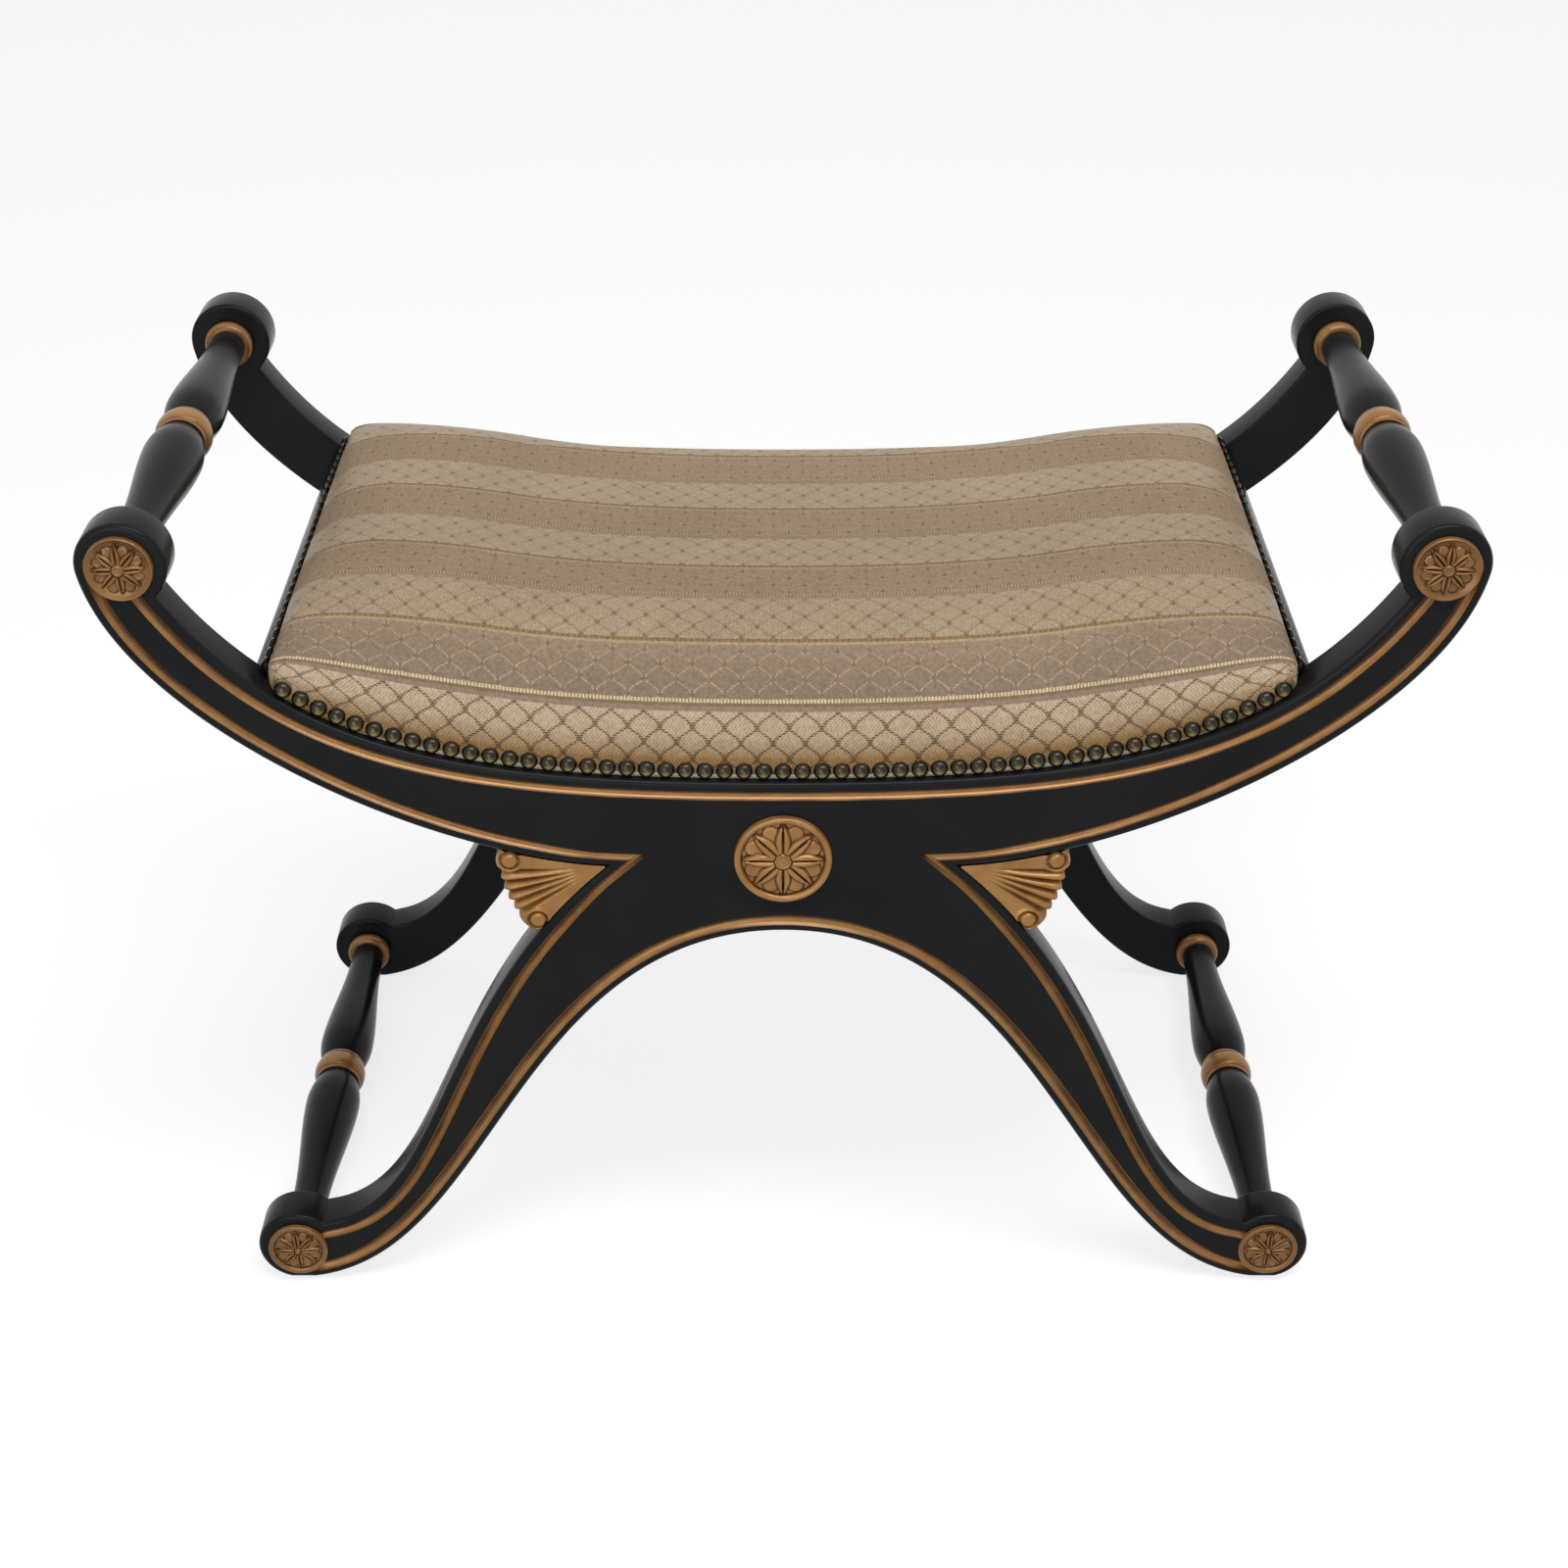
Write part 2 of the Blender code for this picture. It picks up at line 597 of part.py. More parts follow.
def make_fan(name, side, mirror):
    """Fan block that fills the notch between bow and leg, with a scalloped free edge round its tip."""
    turn = math.radians(LEG_TOP_ANGLE)
    upper = [(x, z - GAP) for x, z in until_circle(BOW_LOW, NOTCH, FAN_RADIUS)[1:]]
    lower = until_circle(LEG_TOP, NOTCH, FAN_RADIUS)[1:]
    lower = [(x - GAP * math.sin(turn), z + GAP * math.cos(turn)) for x, z in lower]
    first = math.atan2(upper[-1][1] - NOTCH[1], upper[-1][0] - NOTCH[0])
    last = math.atan2(lower[-1][1] - NOTCH[1], lower[-1][0] - NOTCH[0])
    edge = []
    steps = FAN_SCALLOP_STEPS * FAN_SCALLOPS
    for i in range(1, steps):
        bulge = FAN_SCALLOP_DEPTH * abs(math.sin(math.pi * FAN_SCALLOPS * i / steps))
        edge.append(away(NOTCH, FAN_RADIUS + bulge, math.degrees(first + (last - first) * i / steps)))
    outline = upper + edge + list(reversed(lower))
    if mirror < 0:
        outline = mirrored(outline)
    near = side * (HALF_DEPTH - FAN_INSET)
    plate(name, outline, near, near - side * FAN_THICKNESS, GILT)


def make_side_rail(name, mirror):
    """Rail between the frames at the end of the seat: lip and ridge as on the bow, edge square to the bow."""
    slope = lip_slope(SEAT_HALF)
    length = math.hypot(1, slope)
    low_edge = (SEAT_HALF + SIDE_RAIL_DEPTH * slope / length, lip(SEAT_HALF) - SIDE_RAIL_DEPTH / length)
    corners = [(SEAT_HALF, lip(SEAT_HALF)), (RIDGE_END, lip(RIDGE_END)),
               (RIDGE_END, lip(RIDGE_END) + RIDGE_HEIGHT),
               (SIDE_RAIL_INNER, lip(SIDE_RAIL_INNER) + RIDGE_HEIGHT),
               (SIDE_RAIL_INNER, lip(SIDE_RAIL_INNER) - SIDE_RAIL_DEPTH * length), low_edge]
    if mirror < 0:
        corners = mirrored(corners)
    end = INNER_FACE - GAP
    rail = plate(name, corners, -end, end, LACQUER)
    for side, face in ((-1, "front"), (1, "back")):
        combine(rail, side_tenon(name + "_" + face + "_tenon", mirror, side, 0, TENON_ROOT), 'UNION')


def make_glue_block(name, mirror, side):
    """Block glued into the corner between a side rail and a frame, with its free corner cut away."""
    outer = SIDE_RAIL_INNER - GAP
    near = INNER_FACE - GAP
    points = []
    for x, reach in ((outer, GLUE_BLOCK_SIZE), (outer - GLUE_BLOCK_SIZE, GLUE_BLOCK_NOSE)):
        top = lip(x) - GLUE_BLOCK_DROP
        for y in (near, near - reach):
            for z in (top - GLUE_BLOCK_HEIGHT, top):
                points.append((mirror * x, side * y, z))
    faces = [(0, 1, 3, 2), (4, 6, 7, 5), (0, 4, 5, 1), (2, 3, 7, 6), (0, 2, 6, 4), (1, 5, 7, 3)]
    solid(name, points, faces, LACQUER)


def curved_sheet(name, low_x, high_x, half_y, bottom, thickness, finish):
    """Sheet that follows the bow along X, lies flat along Y and keeps a height above the bow's top edge."""
    stations = [low_x] + [x for x in lip_stations(SEAT_HALF) if low_x < x < high_x] + [high_x]
    under = [(x, lip(x) + bottom) for x in stations]
    over = [(x, z + thickness) for x, z in reversed(under)]
    return plate(name, under + over, -half_y, half_y, finish)


def make_webbing():
    half_y = RIDGE_FRONT - TACKING_MARGIN
    bottom = RIDGE_HEIGHT + GAP
    for i in range(STRAP_COUNT):
        x = (i - (STRAP_COUNT - 1) / 2) * STRAP_PITCH
        low, high = x - STRAP_WIDTH / 2, x + STRAP_WIDTH / 2
        curved_sheet("webbing_strap_%d" % (i + 1), low, high, half_y, bottom, STRAP_THICKNESS, JUTE)


HESSIAN_BOTTOM = RIDGE_HEIGHT + STRAP_THICKNESS + 2 * GAP
PAD_BOTTOM = HESSIAN_BOTTOM + HESSIAN_THICKNESS + GAP


def roll_stations(low, high, low_roll, high_roll, flat_steps):
    """Places across a cushion and the share of its crown at each: elliptic rolls and a flat between."""
    places = []
    for i in range(ROLL_STEPS + 1):
        turn = math.pi / 2 * i / ROLL_STEPS
        places.append((low + low_roll * (1 - math.cos(turn)), math.sin(turn)))
    flat = (high - high_roll) - (low + low_roll)
    for i in range(1, flat_steps):
        places.append((low + low_roll + flat * i / flat_steps, 1.0))
    for i in range(ROLL_STEPS, -1, -1):
        turn = math.pi / 2 * i / ROLL_STEPS
        places.append((high - high_roll * (1 - math.cos(turn)), math.sin(turn)))
    return places


def dome(inset):
    """Rows of points of the cushion's top, drawn in and lowered by an inset from the cover's outside."""
    half_x = RIDGE_END + GAP + COVER_THICKNESS - inset
    half_y = RIDGE_FRONT + GAP + COVER_THICKNESS - inset
    columns = roll_stations(-half_x, half_x, END_ROLL, END_ROLL, LENGTH_STEPS)
    lines = roll_stations(-half_y, half_y, FRONT_ROLL, BACK_ROLL, DEPTH_STEPS)
    rows = []
    for x, share_x in columns:
        base = lip(x) + SKIRT_HEIGHT - inset
        rows.append([(x, y, base + CROWN_HEIGHT * share_x * share_y) for y, share_y in lines])
    return rows


def rim_path(rows):
    """Indices round the edge of a grid of points, in order."""
    wide, deep = len(rows), len(rows[0])
    path = [(i, 0) for i in range(wide)] + [(wide - 1, j) for j in range(1, deep)]
    path += [(i, deep - 1) for i in range(wide - 2, -1, -1)] + [(0, j) for j in range(deep - 2, 0, -1)]
    return path


def grid_faces(start, wide, deep):
    faces = []
    for i in range(wide - 1):
        for j in range(deep - 1):
            a = start + i * deep + j
            faces.append((a, a + deep, a + deep + 1, a + 1))
    return faces


def make_cover():
    """Thin cover: a crowned outside, the same inside, and a skirt that ends just above the lip."""
    outside, inside = dome(0.0), dome(COVER_THICKNESS)
    wide, deep = len(outside), len(outside[0])
    points = [p for row in outside for p in row] + [p for row in inside for p in row]
    inner = wide * deep
    faces = grid_faces(0, wide, deep) + grid_faces(inner, wide, deep)
    path = rim_path(outside)
    hems = []
    for rows in (outside, inside):
        hems.append(len(points))
        for i, j in path:
            x, y, _ = rows[i][j]
            points.append((x, y, lip(x) + GAP))
    count = len(path)
    for k in range(count):
        n = (k + 1) % count
        a = path[k][0] * deep + path[k][1]
        b = path[n][0] * deep + path[n][1]
        faces.append((a, b, hems[0] + n, hems[0] + k))
        faces.append((inner + a, inner + b, hems[1] + n, hems[1] + k))
        faces.append((hems[0] + k, hems[0] + n, hems[1] + n, hems[1] + k))
    solid("seat_cover", points, faces, COVER, smooth=True)


def make_pad():
    """Foam pad under the cover, crowned on top and following the hessian below."""
    top = dome(COVER_THICKNESS + GAP)
    wide, deep = len(top), len(top[0])
    points = [p for row in top for p in row]
    points += [(x, y, lip(x) + PAD_BOTTOM) for row in top for x, y, _ in row]
    under = wide * deep
    faces = grid_faces(0, wide, deep) + grid_faces(under, wide, deep)
    path = rim_path(top)
    for k in range(len(path)):
        n = (k + 1) % len(path)
        a = path[k][0] * deep + path[k][1]
        b = path[n][0] * deep + path[n][1]
        faces.append((a, b, under + b, under + a))
    solid("seat_foam", points, faces, FOAM, smooth=True)


def lip_walk(half):
    """Even places along the bow's top edge between -half and half, about one nail pitch apart."""
    stations = lip_stations(half)
    run = [0.0]
    for a, b in zip(stations, stations[1:]):
        run.append(run[-1] + math.hypot(b - a, lip(b) - lip(a)))
    count = max(2, round(run[-1] / NAIL_PITCH))
    places = []
    for k in range(2 * count + 1):
        goal = run[-1] * k / (2 * count)
        i = next((i for i in range(len(run) - 2) if run[i + 1] >= goal), len(run) - 2)
        share = (goal - run[i]) / (run[i + 1] - run[i])
        places.append(stations[i] + (stations[i + 1] - stations[i]) * share)
    return places


def nail_strip(name, spots, out):
    """Strip of domed nail heads joined by narrow links. A spot is the middle of a head or link and its up."""
    points = []
    for k, (spot, up) in enumerate(spots):
        head = k % 2 == 1
        radius = NAIL_RADIUS if head else NAIL_LINK_RADIUS
        rise = NAIL_DOME if head else NAIL_LINK_DOME
        for share, proud in ((-1, 0), (1, 0), (NAIL_CREST_SHARE, 1), (-NAIL_CREST_SHARE, 1)):
            points.append(tuple(c + u * radius * share + o * rise * proud for c, u, o in zip(spot, up, out)))
    faces = [(0, 1, 2, 3)]
    for k in range(len(spots) - 1):
        for m in range(4):
            n = (m + 1) % 4
            faces.append((4 * k + m, 4 * k + n, 4 * (k + 1) + n, 4 * (k + 1) + m))
    end = 4 * (len(spots) - 1)
    faces.append((end + 3, end + 2, end + 1, end))
    solid(name, points, faces, BRONZE)


def make_long_strip(name, side):
    """Nails along the bow, in front of or behind the cover."""
    back = side * (RIDGE_FRONT + 2 * GAP + COVER_THICKNESS)
    lift = NAIL_RADIUS + NAIL_LIFT
    spots = []
    for x in lip_walk(RIDGE_END - NAIL_RADIUS):
        slope = lip_slope(x)
        length = math.hypot(1, slope)
        up = (-slope / length, 0, 1 / length)
        spots.append(((x + up[0] * lift, back, lip(x) + up[2] * lift), up))
    nail_strip(name, spots, (0, side, 0))


def make_end_strip(name, mirror):
    """Nails along the end of the cover, just above the lip of the side rail."""
    back = RIDGE_END + 2 * GAP + COVER_THICKNESS
    height = lip(back + NAIL_DOME) + GAP + NAIL_RADIUS
    half = RIDGE_FRONT - NAIL_RADIUS
    count = max(2, round(2 * half / NAIL_PITCH))
    spots = []
    for k in range(2 * count + 1):
        y = -half + half * k / count
        spots.append(((mirror * back, y, height), (0, 0, 1)))
    nail_strip(name, spots, (mirror, 0, 0))


def make_bench():
    hands = ((-1, "left"), (1, "right"))
    for side, frame in ((-1, "front"), (1, "back")):
        make_seat_rail(frame, side)
        for mirror, hand in hands:
            tag = frame + "_" + hand
            make_arm(frame, side, hand, mirror)
            make_leg(frame, side, hand, mirror)
            make_fan(tag + "_fan", side, mirror)
            make_rosette(tag + "_arm_rosette", mirror * ARM_X, ARM_Z, ROSETTE_RADIUS, side)
            make_rosette(tag + "_foot_rosette", mirror * FOOT_X, FOOT_Z, ROSETTE_RADIUS, side)
            make_glide(tag + "_glide", mirror * FOOT_X, side * (HALF_DEPTH - FRAME_THICKNESS / 2))
            make_glue_block(tag + "_glue_block", mirror, side)
        centre_z = LIP_HEIGHT - CENTRE_ROSETTE_DROP
        make_rosette(frame + "_centre_rosette", 0, centre_z, CENTRE_ROSETTE_RADIUS, side)
        make_long_strip(frame + "_nail_strip", side)
        leg_spline(frame + "_leg_spline", side * (HALF_DEPTH - FRAME_THICKNESS / 2), 0, BEECH)
    for mirror, hand in hands:
        make_rail(hand + "_arm_rail", mirror * ARM_X, ARM_Z)
        make_rail(hand + "_foot_rail", mirror * FOOT_X, FOOT_Z)
        make_side_rail(hand + "_side_rail", mirror)
        make_end_strip(hand + "_nail_strip", mirror)
    make_webbing()
    half_x = RIDGE_END - TACKING_MARGIN
    half_y = RIDGE_FRONT - TACKING_MARGIN
    curved_sheet("hessian_platform", -half_x, half_x, half_y, HESSIAN_BOTTOM, HESSIAN_THICKNESS, JUTE)
    make_pad()
    make_cover()


clear_scene()
make_bench()
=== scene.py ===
import math

import bmesh
import bpy
import numpy as np
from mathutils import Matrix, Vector
from mathutils.geometry import delaunay_2d_cdt


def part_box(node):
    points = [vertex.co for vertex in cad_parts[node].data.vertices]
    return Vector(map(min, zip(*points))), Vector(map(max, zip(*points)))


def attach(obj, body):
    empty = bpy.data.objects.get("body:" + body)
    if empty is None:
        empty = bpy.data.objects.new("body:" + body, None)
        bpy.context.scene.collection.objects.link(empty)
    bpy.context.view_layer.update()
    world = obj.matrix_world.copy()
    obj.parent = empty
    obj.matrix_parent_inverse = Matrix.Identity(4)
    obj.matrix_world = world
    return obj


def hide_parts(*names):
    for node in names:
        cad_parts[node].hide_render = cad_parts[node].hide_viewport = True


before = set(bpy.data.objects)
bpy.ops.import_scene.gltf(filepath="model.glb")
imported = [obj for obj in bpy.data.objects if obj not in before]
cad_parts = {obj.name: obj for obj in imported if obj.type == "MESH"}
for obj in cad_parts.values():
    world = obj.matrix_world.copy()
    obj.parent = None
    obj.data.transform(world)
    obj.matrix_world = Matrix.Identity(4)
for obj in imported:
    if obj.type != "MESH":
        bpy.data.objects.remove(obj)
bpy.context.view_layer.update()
scene = bpy.context.scene
print("frame loaded,", len(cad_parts), "nodes")

mmInMetre = 1000.0
fullTurn = 2 * math.pi
pieceGap = 0.0003  # kept between pieces that touch
facings = ((-1, "front"), (1, "back"))
hands = ((-1, "left"), (1, "right"))


# one end of a CAD node's box along an axis, and its middle, to a hundredth of a millimetre
def boxEnd(node, end, axis):
    return round(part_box(node)[end][axis], 5)


def boxMiddle(node, axis):
    low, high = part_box(node)
    return round((low[axis] + high[axis]) / 2, 5)


# the turned rails give the middles of the discs, in X and Z
discAt = {part: tuple(boxMiddle("right_" + part + "_rail", axis) for axis in (0, 2))
          for part in ("arm", "foot")}


def hexColour(text):
    parts = [int(text[i:i + 2], 16) / 255 for i in (1, 3, 5)]
    return [p / 12.92 if p <= 0.04045 else ((p + 0.055) / 1.055) ** 2.4 for p in parts] + [1.0]


# the first socket in use, or the one in use that has a name
def liveSocket(sockets, name=None):
    return next(s for s in sockets if s.enabled and name in (None, s.name))


# adds one node: settings are its properties, feeds its inputs by order or by name, each a node, a socket or a
# plain value, and goal is the socket that takes its output
def addNode(tree, kind, settings=None, feeds=(), goal=None):
    node = tree.nodes.new(kind)
    for key, value in (settings or {}).items():
        if key != "stops":
            setattr(node, key, value)
            continue
        ramp, stops = node.color_ramp, list(value)
        ramp.elements[0].position, ramp.elements[1].position = stops[0][0], stops[-1][0]
        for stop in stops[1:-1]:
            ramp.elements.new(stop[0])
        for element, (_, colour, *alpha) in zip(ramp.elements, stops):
            element.color = hexColour(colour)[:3] + (alpha or [1.0])
    for key, value in feeds.items() if isinstance(feeds, dict) else enumerate(feeds):
        socket = liveSocket(node.inputs, key) if isinstance(key, str) else node.inputs[key]
        if isinstance(value, bpy.types.Node):
            value = liveSocket(value.outputs)
        if isinstance(value, bpy.types.NodeSocket):
            tree.links.new(value, socket)
        else:
            socket.default_value = value
    if goal:
        tree.links.new(liveSocket(node.outputs), goal)
    return node


def newFinish(name, sockets):
    material = bpy.data.materials.new(name)
    material.use_nodes = True
    tree = material.node_tree
    shader = tree.nodes["Principled BSDF"].inputs
    for key, value in sockets.items():
        shader[key].default_value = value
    return material, tree, shader


# colour between two tones from one pattern, relief from another
def dressFinish(tree, shader, form, pattern, relief):
    addNode(tree, "ShaderNodeBump", None, {"Height": relief, **form["relief"]}, shader["Normal"])
    return addNode(tree, "ShaderNodeValToRGB", {"stops": zip(form["toneRange"], form["tones"])},
                   {"Fac": pattern}, shader["Base Color"])


def newPiece(name, points, faces, finishes, faceSlots=None, smooth=True, edges=()):
    mesh = bpy.data.meshes.new(name)
    mesh.from_pydata([tuple(map(float, p)) for p in points], edges, faces)
    for finish in finishes:
        mesh.materials.append(finish)
    if faceSlots is not None:
        mesh.polygons.foreach_set("material_index", np.asarray(faceSlots, dtype=np.int32))
    mesh.polygons.foreach_set("use_smooth", np.broadcast_to(smooth, len(mesh.polygons)).astype(bool))
    mesh.update()
    piece = bpy.data.objects.new(name, mesh)
    scene.collection.objects.link(piece)
    return piece


def turnOutward(piece, sharpAngle=None):
    work = bmesh.new()
    work.from_mesh(piece.data)
    bmesh.ops.recalc_face_normals(work, faces=work.faces)
    work.to_mesh(piece.data)
    work.free()
    if sharpAngle:
        piece.data.set_sharp_from_angle(angle=math.radians(sharpAngle))


# turns a piece with modifiers into a plain mesh
def bakeModifiers(piece):
    depsgraph = bpy.context.evaluated_depsgraph_get()
    made = bpy.data.meshes.new_from_object(piece.evaluated_get(depsgraph), depsgraph=depsgraph)
    piece.modifiers.clear()
    piece.data = made


def seatPiece(piece, slot, *nodes):
    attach(piece, "root")
    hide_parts(*nodes)


# a carved or turned piece also says how brown the glaze is at each point, and on the frames' grooves how much
# painted shade lies under the upper edge
def seatCarved(piece, hollow, sharpAngle, slot, *nodes):
    layer = piece.data.attributes.new("hollow", "FLOAT", "POINT")
    layer.data.foreach_set("value", np.asarray(hollow, dtype=np.float32))
    turnOutward(piece, sharpAngle)
    seatPiece(piece, slot, *nodes)


def smoothStep(values):
    values = np.clip(values, 0, 1)
    return values * values * (3 - 2 * values)


# adds points to a list and gives their numbers
def addPoints(points, new):
    start = len(points)
    points.extend(new)
    return list(range(start, len(points)))


# numbers of a grid's points, row by row
def gridRows(count, length):
    return np.arange(count * length).reshape(count, length).tolist()


# quads between each row of points and the next
def rowFaces(rows, closed=True):
    count = len(rows[0])
    return [(a[i], a[(i + 1) % count], b[(i + 1) % count], b[i])
            for a, b in zip(rows, rows[1:]) for i in range(count if closed else count - 1)]


# the way round a grid's border, as row and place
def gridRim(wide, deep):
    rim = [(i, 0) for i in range(wide)] + [(wide - 1, j) for j in range(1, deep)]
    rim += [(i, deep - 1) for i in range(wide - 2, -1, -1)]
    return rim + [(0, j) for j in range(deep - 2, 0, -1)]


# camera, floor and light: each lamp has its place, its width and height, and its watts
stage = {
    "cameraAt": (0.0, -1.6805, 1.273), "pitchDown": 30.29, "lens": 61.425, "sensor": 36.0, "shift": 0.0006,
    "floorHalf": 9.0, "floorGlow": 0.78, "roomLevel": 0.38, "aim": (0.0, 0.0, 0.36),
    "floor": {"Roughness": 0.9, "Specular IOR Level": 0.0, "Base Color": hexColour("#9c9c9c"),
              "Emission Color": (1, 1, 1, 1)},
    "lamps": {"key": ((0.4, -1.15, 2.7), (2.2, 0.7), 43.0), "fill": ((-0.9, -2.6, 0.9), (1.6, 1.6), 20.0)},
}


# 1 for rays to the eye, through glass and off a mirror, 0 for those that only carry light
def addSeenShare(tree):
    rays = addNode(tree, "ShaderNodeLightPath").outputs
    seen = rays["Is Camera Ray"]
    for kind in ("Is Transmission Ray", "Is Glossy Ray"):
        seen = addNode(tree, "ShaderNodeMath", {"operation": "MAXIMUM"}, (seen, rays[kind]))
    return seen


def buildStage():
    camera = bpy.data.cameras.new("photoCamera")
    camera.lens, camera.sensor_width, camera.shift_x = stage["lens"], stage["sensor"], stage["shift"]
    viewer = bpy.data.objects.new("photoCamera", camera)
    viewer.location = stage["cameraAt"]
    viewer.rotation_euler = (math.radians(90 - stage["pitchDown"]), 0, 0)
    scene.collection.objects.link(viewer)
    scene.camera = viewer
    scene.view_settings.view_transform = "Standard"

    # a white room, dimmer as light than it looks
    world = bpy.data.worlds.new("whiteRoom")
    scene.world = world
    world.use_nodes = True
    tree, level = world.node_tree, stage["roomLevel"]
    background = tree.nodes["Background"].inputs
    background["Color"].default_value = (1, 1, 1, 1)
    addNode(tree, "ShaderNodeMath", {"operation": "MULTIPLY_ADD"}, (addSeenShare(tree), 1 - level, level),
            background["Strength"])

    half = stage["floorHalf"]
    corners = [(-half, -half, 0), (half, -half, 0), (half, half, 0), (-half, half, 0)]
    paint, tree, shader = newFinish("paleFloorPaint", stage["floor"])
    addNode(tree, "ShaderNodeMath", {"operation": "MULTIPLY"}, (addSeenShare(tree), stage["floorGlow"]),
            shader["Emission Strength"])
    newPiece("floor", corners, [(0, 1, 2, 3)], [paint], smooth=False)

    for name, (place, size, power) in stage["lamps"].items():
        lamp = bpy.data.lights.new(name + "Lamp", "AREA")
        lamp.shape, lamp.energy = "RECTANGLE", power
        lamp.size, lamp.size_y = size
        holder = bpy.data.objects.new(name + "Lamp", lamp)
        holder.location = place
        holder.rotation_euler = (Vector(stage["aim"]) - holder.location).to_track_quat("-Z", "Y").to_euler()
        scene.collection.objects.link(holder)


buildStage()
print("stage set")


# black lacquer: sprayed nearly smooth over wood, a deep black that greys where it is seen past an edge,
# with clouds of some 45 mm and an orange peel of 3 mm
lacquerForm = {
    "shader": {"IOR": 1.5, "Specular IOR Level": 0.09, "Specular Tint": (0.84, 0.92, 1.0, 1.0)},
    "cloud": {"Scale": mmInMetre / 45, "Detail": 4.0}, "peel": {"Scale": mmInMetre / 3, "Detail": 1.0},
    "toneRange": (0.3, 0.7), "tones": ("#181818", "#1d1d1d"), "roughness": (0.20, 0.29),
    "relief": {"Strength": 0.05, "Distance": 0.0004},
}


def makeLacquer():
    form = lacquerForm
    material, tree, shader = newFinish("satinBlackLacquer", form["shader"])
    place = addNode(tree, "ShaderNodeTexCoord").outputs["Object"]
    cloud, peel = (addNode(tree, "ShaderNodeTexNoise", None, {"Vector": place, **form[name]})
                   for name in ("cloud", "peel"))
    dressFinish(tree, shader, form, cloud, peel)
    addNode(tree, "ShaderNodeMapRange", None, (cloud, *form["toneRange"], *form["roughness"]),
            shader["Roughness"])
    return material


# gilt paint over carved wood: satin gold on the high places and brown glaze left in the hollows,
# wiped by hand so that it comes and goes over some 25 mm, with brush marks 2 mm apart
giltForm = {
    "shader": {"Metallic": 0.35, "Specular IOR Level": 0.2, "Coat Weight": 0.25, "Coat Roughness": 0.22},
    "cloud": {"Scale": mmInMetre / 14, "Detail": 3.0}, "wiped": {"Scale": mmInMetre / 25, "Detail": 3.0},
    "brush": {"Scale": mmInMetre / 2, "Detail": 2.0},
    "toneRange": (0.3, 0.7), "tones": ("#936536", "#a57a45"), "roughness": (0.28, 0.40),
    # the glaze colour also paints the shade on the grooves' downward-facing upper walls
    "glazeAndShade": "#3a200c", "wipedRange": (0.35, 0.65), "wipedShare": (0.68, 1.1),
    "relief": {"Strength": 0.12, "Distance": 0.0003},
}


def makeGilt():
    form = giltForm
    material, tree, shader = newFinish("satinGiltPaint", form["shader"])
    place = addNode(tree, "ShaderNodeTexCoord").outputs["Object"]
    cloud, wiped, brush = (addNode(tree, "ShaderNodeTexNoise", None, {"Vector": place, **form[name]})
                           for name in ("cloud", "wiped", "brush"))
    tone = dressFinish(tree, shader, form, cloud, brush)
    # hollow is the brown glaze, and in the frames' grooves also painted shade under the upper edge
    hollow = addNode(tree, "ShaderNodeAttribute", {"attribute_name": "hollow"}).outputs["Fac"]
    wiped = addNode(tree, "ShaderNodeMapRange", None, (wiped, *form["wipedRange"], *form["wipedShare"]))
    wiped = addNode(tree, "ShaderNodeMath", {"operation": "MULTIPLY", "use_clamp": True}, (hollow, wiped))
    addNode(tree, "ShaderNodeMix", {"data_type": "RGBA"},
            {"Factor": wiped, "A": tone, "B": hexColour(form["glazeAndShade"])}, shader["Base Color"])
    addNode(tree, "ShaderNodeMapRange", None, (cloud, *form["toneRange"], *form["roughness"]),
            shader["Roughness"])
    return material


# antique bronze nails: pressed domes, dark and glossy, with a painted olive reflection on the low side
bronzeForm = {
    "shader": {"Metallic": 0.8, "Roughness": 0.22}, "dark": "#302d24", "brown": "#3a2f22", "olive": "#8b7a4c",
}


def makeBronze():
    form = bronzeForm
    material, tree, shader = newFinish("antiqueBronze", form["shader"])
    low, tint = (addNode(tree, "ShaderNodeAttribute", {"attribute_name": name}).outputs["Fac"]
                 for name in ("lowSide", "nailTone"))
    body = addNode(tree, "ShaderNodeMix", {"data_type": "RGBA"},
                   {"Factor": tint, "A": hexColour(form["dark"]), "B": hexColour(form["brown"])})
    # the olive on each head's low side is a painted reflection
    addNode(tree, "ShaderNodeMix", {"data_type": "RGBA"},
            {"Factor": low, "A": body, "B": hexColour(form["olive"])}, shader["Base Color"])
    return material


lacquer, gilt, bronze = makeLacquer(), makeGilt(), makeBronze()
print("hard finishes made")


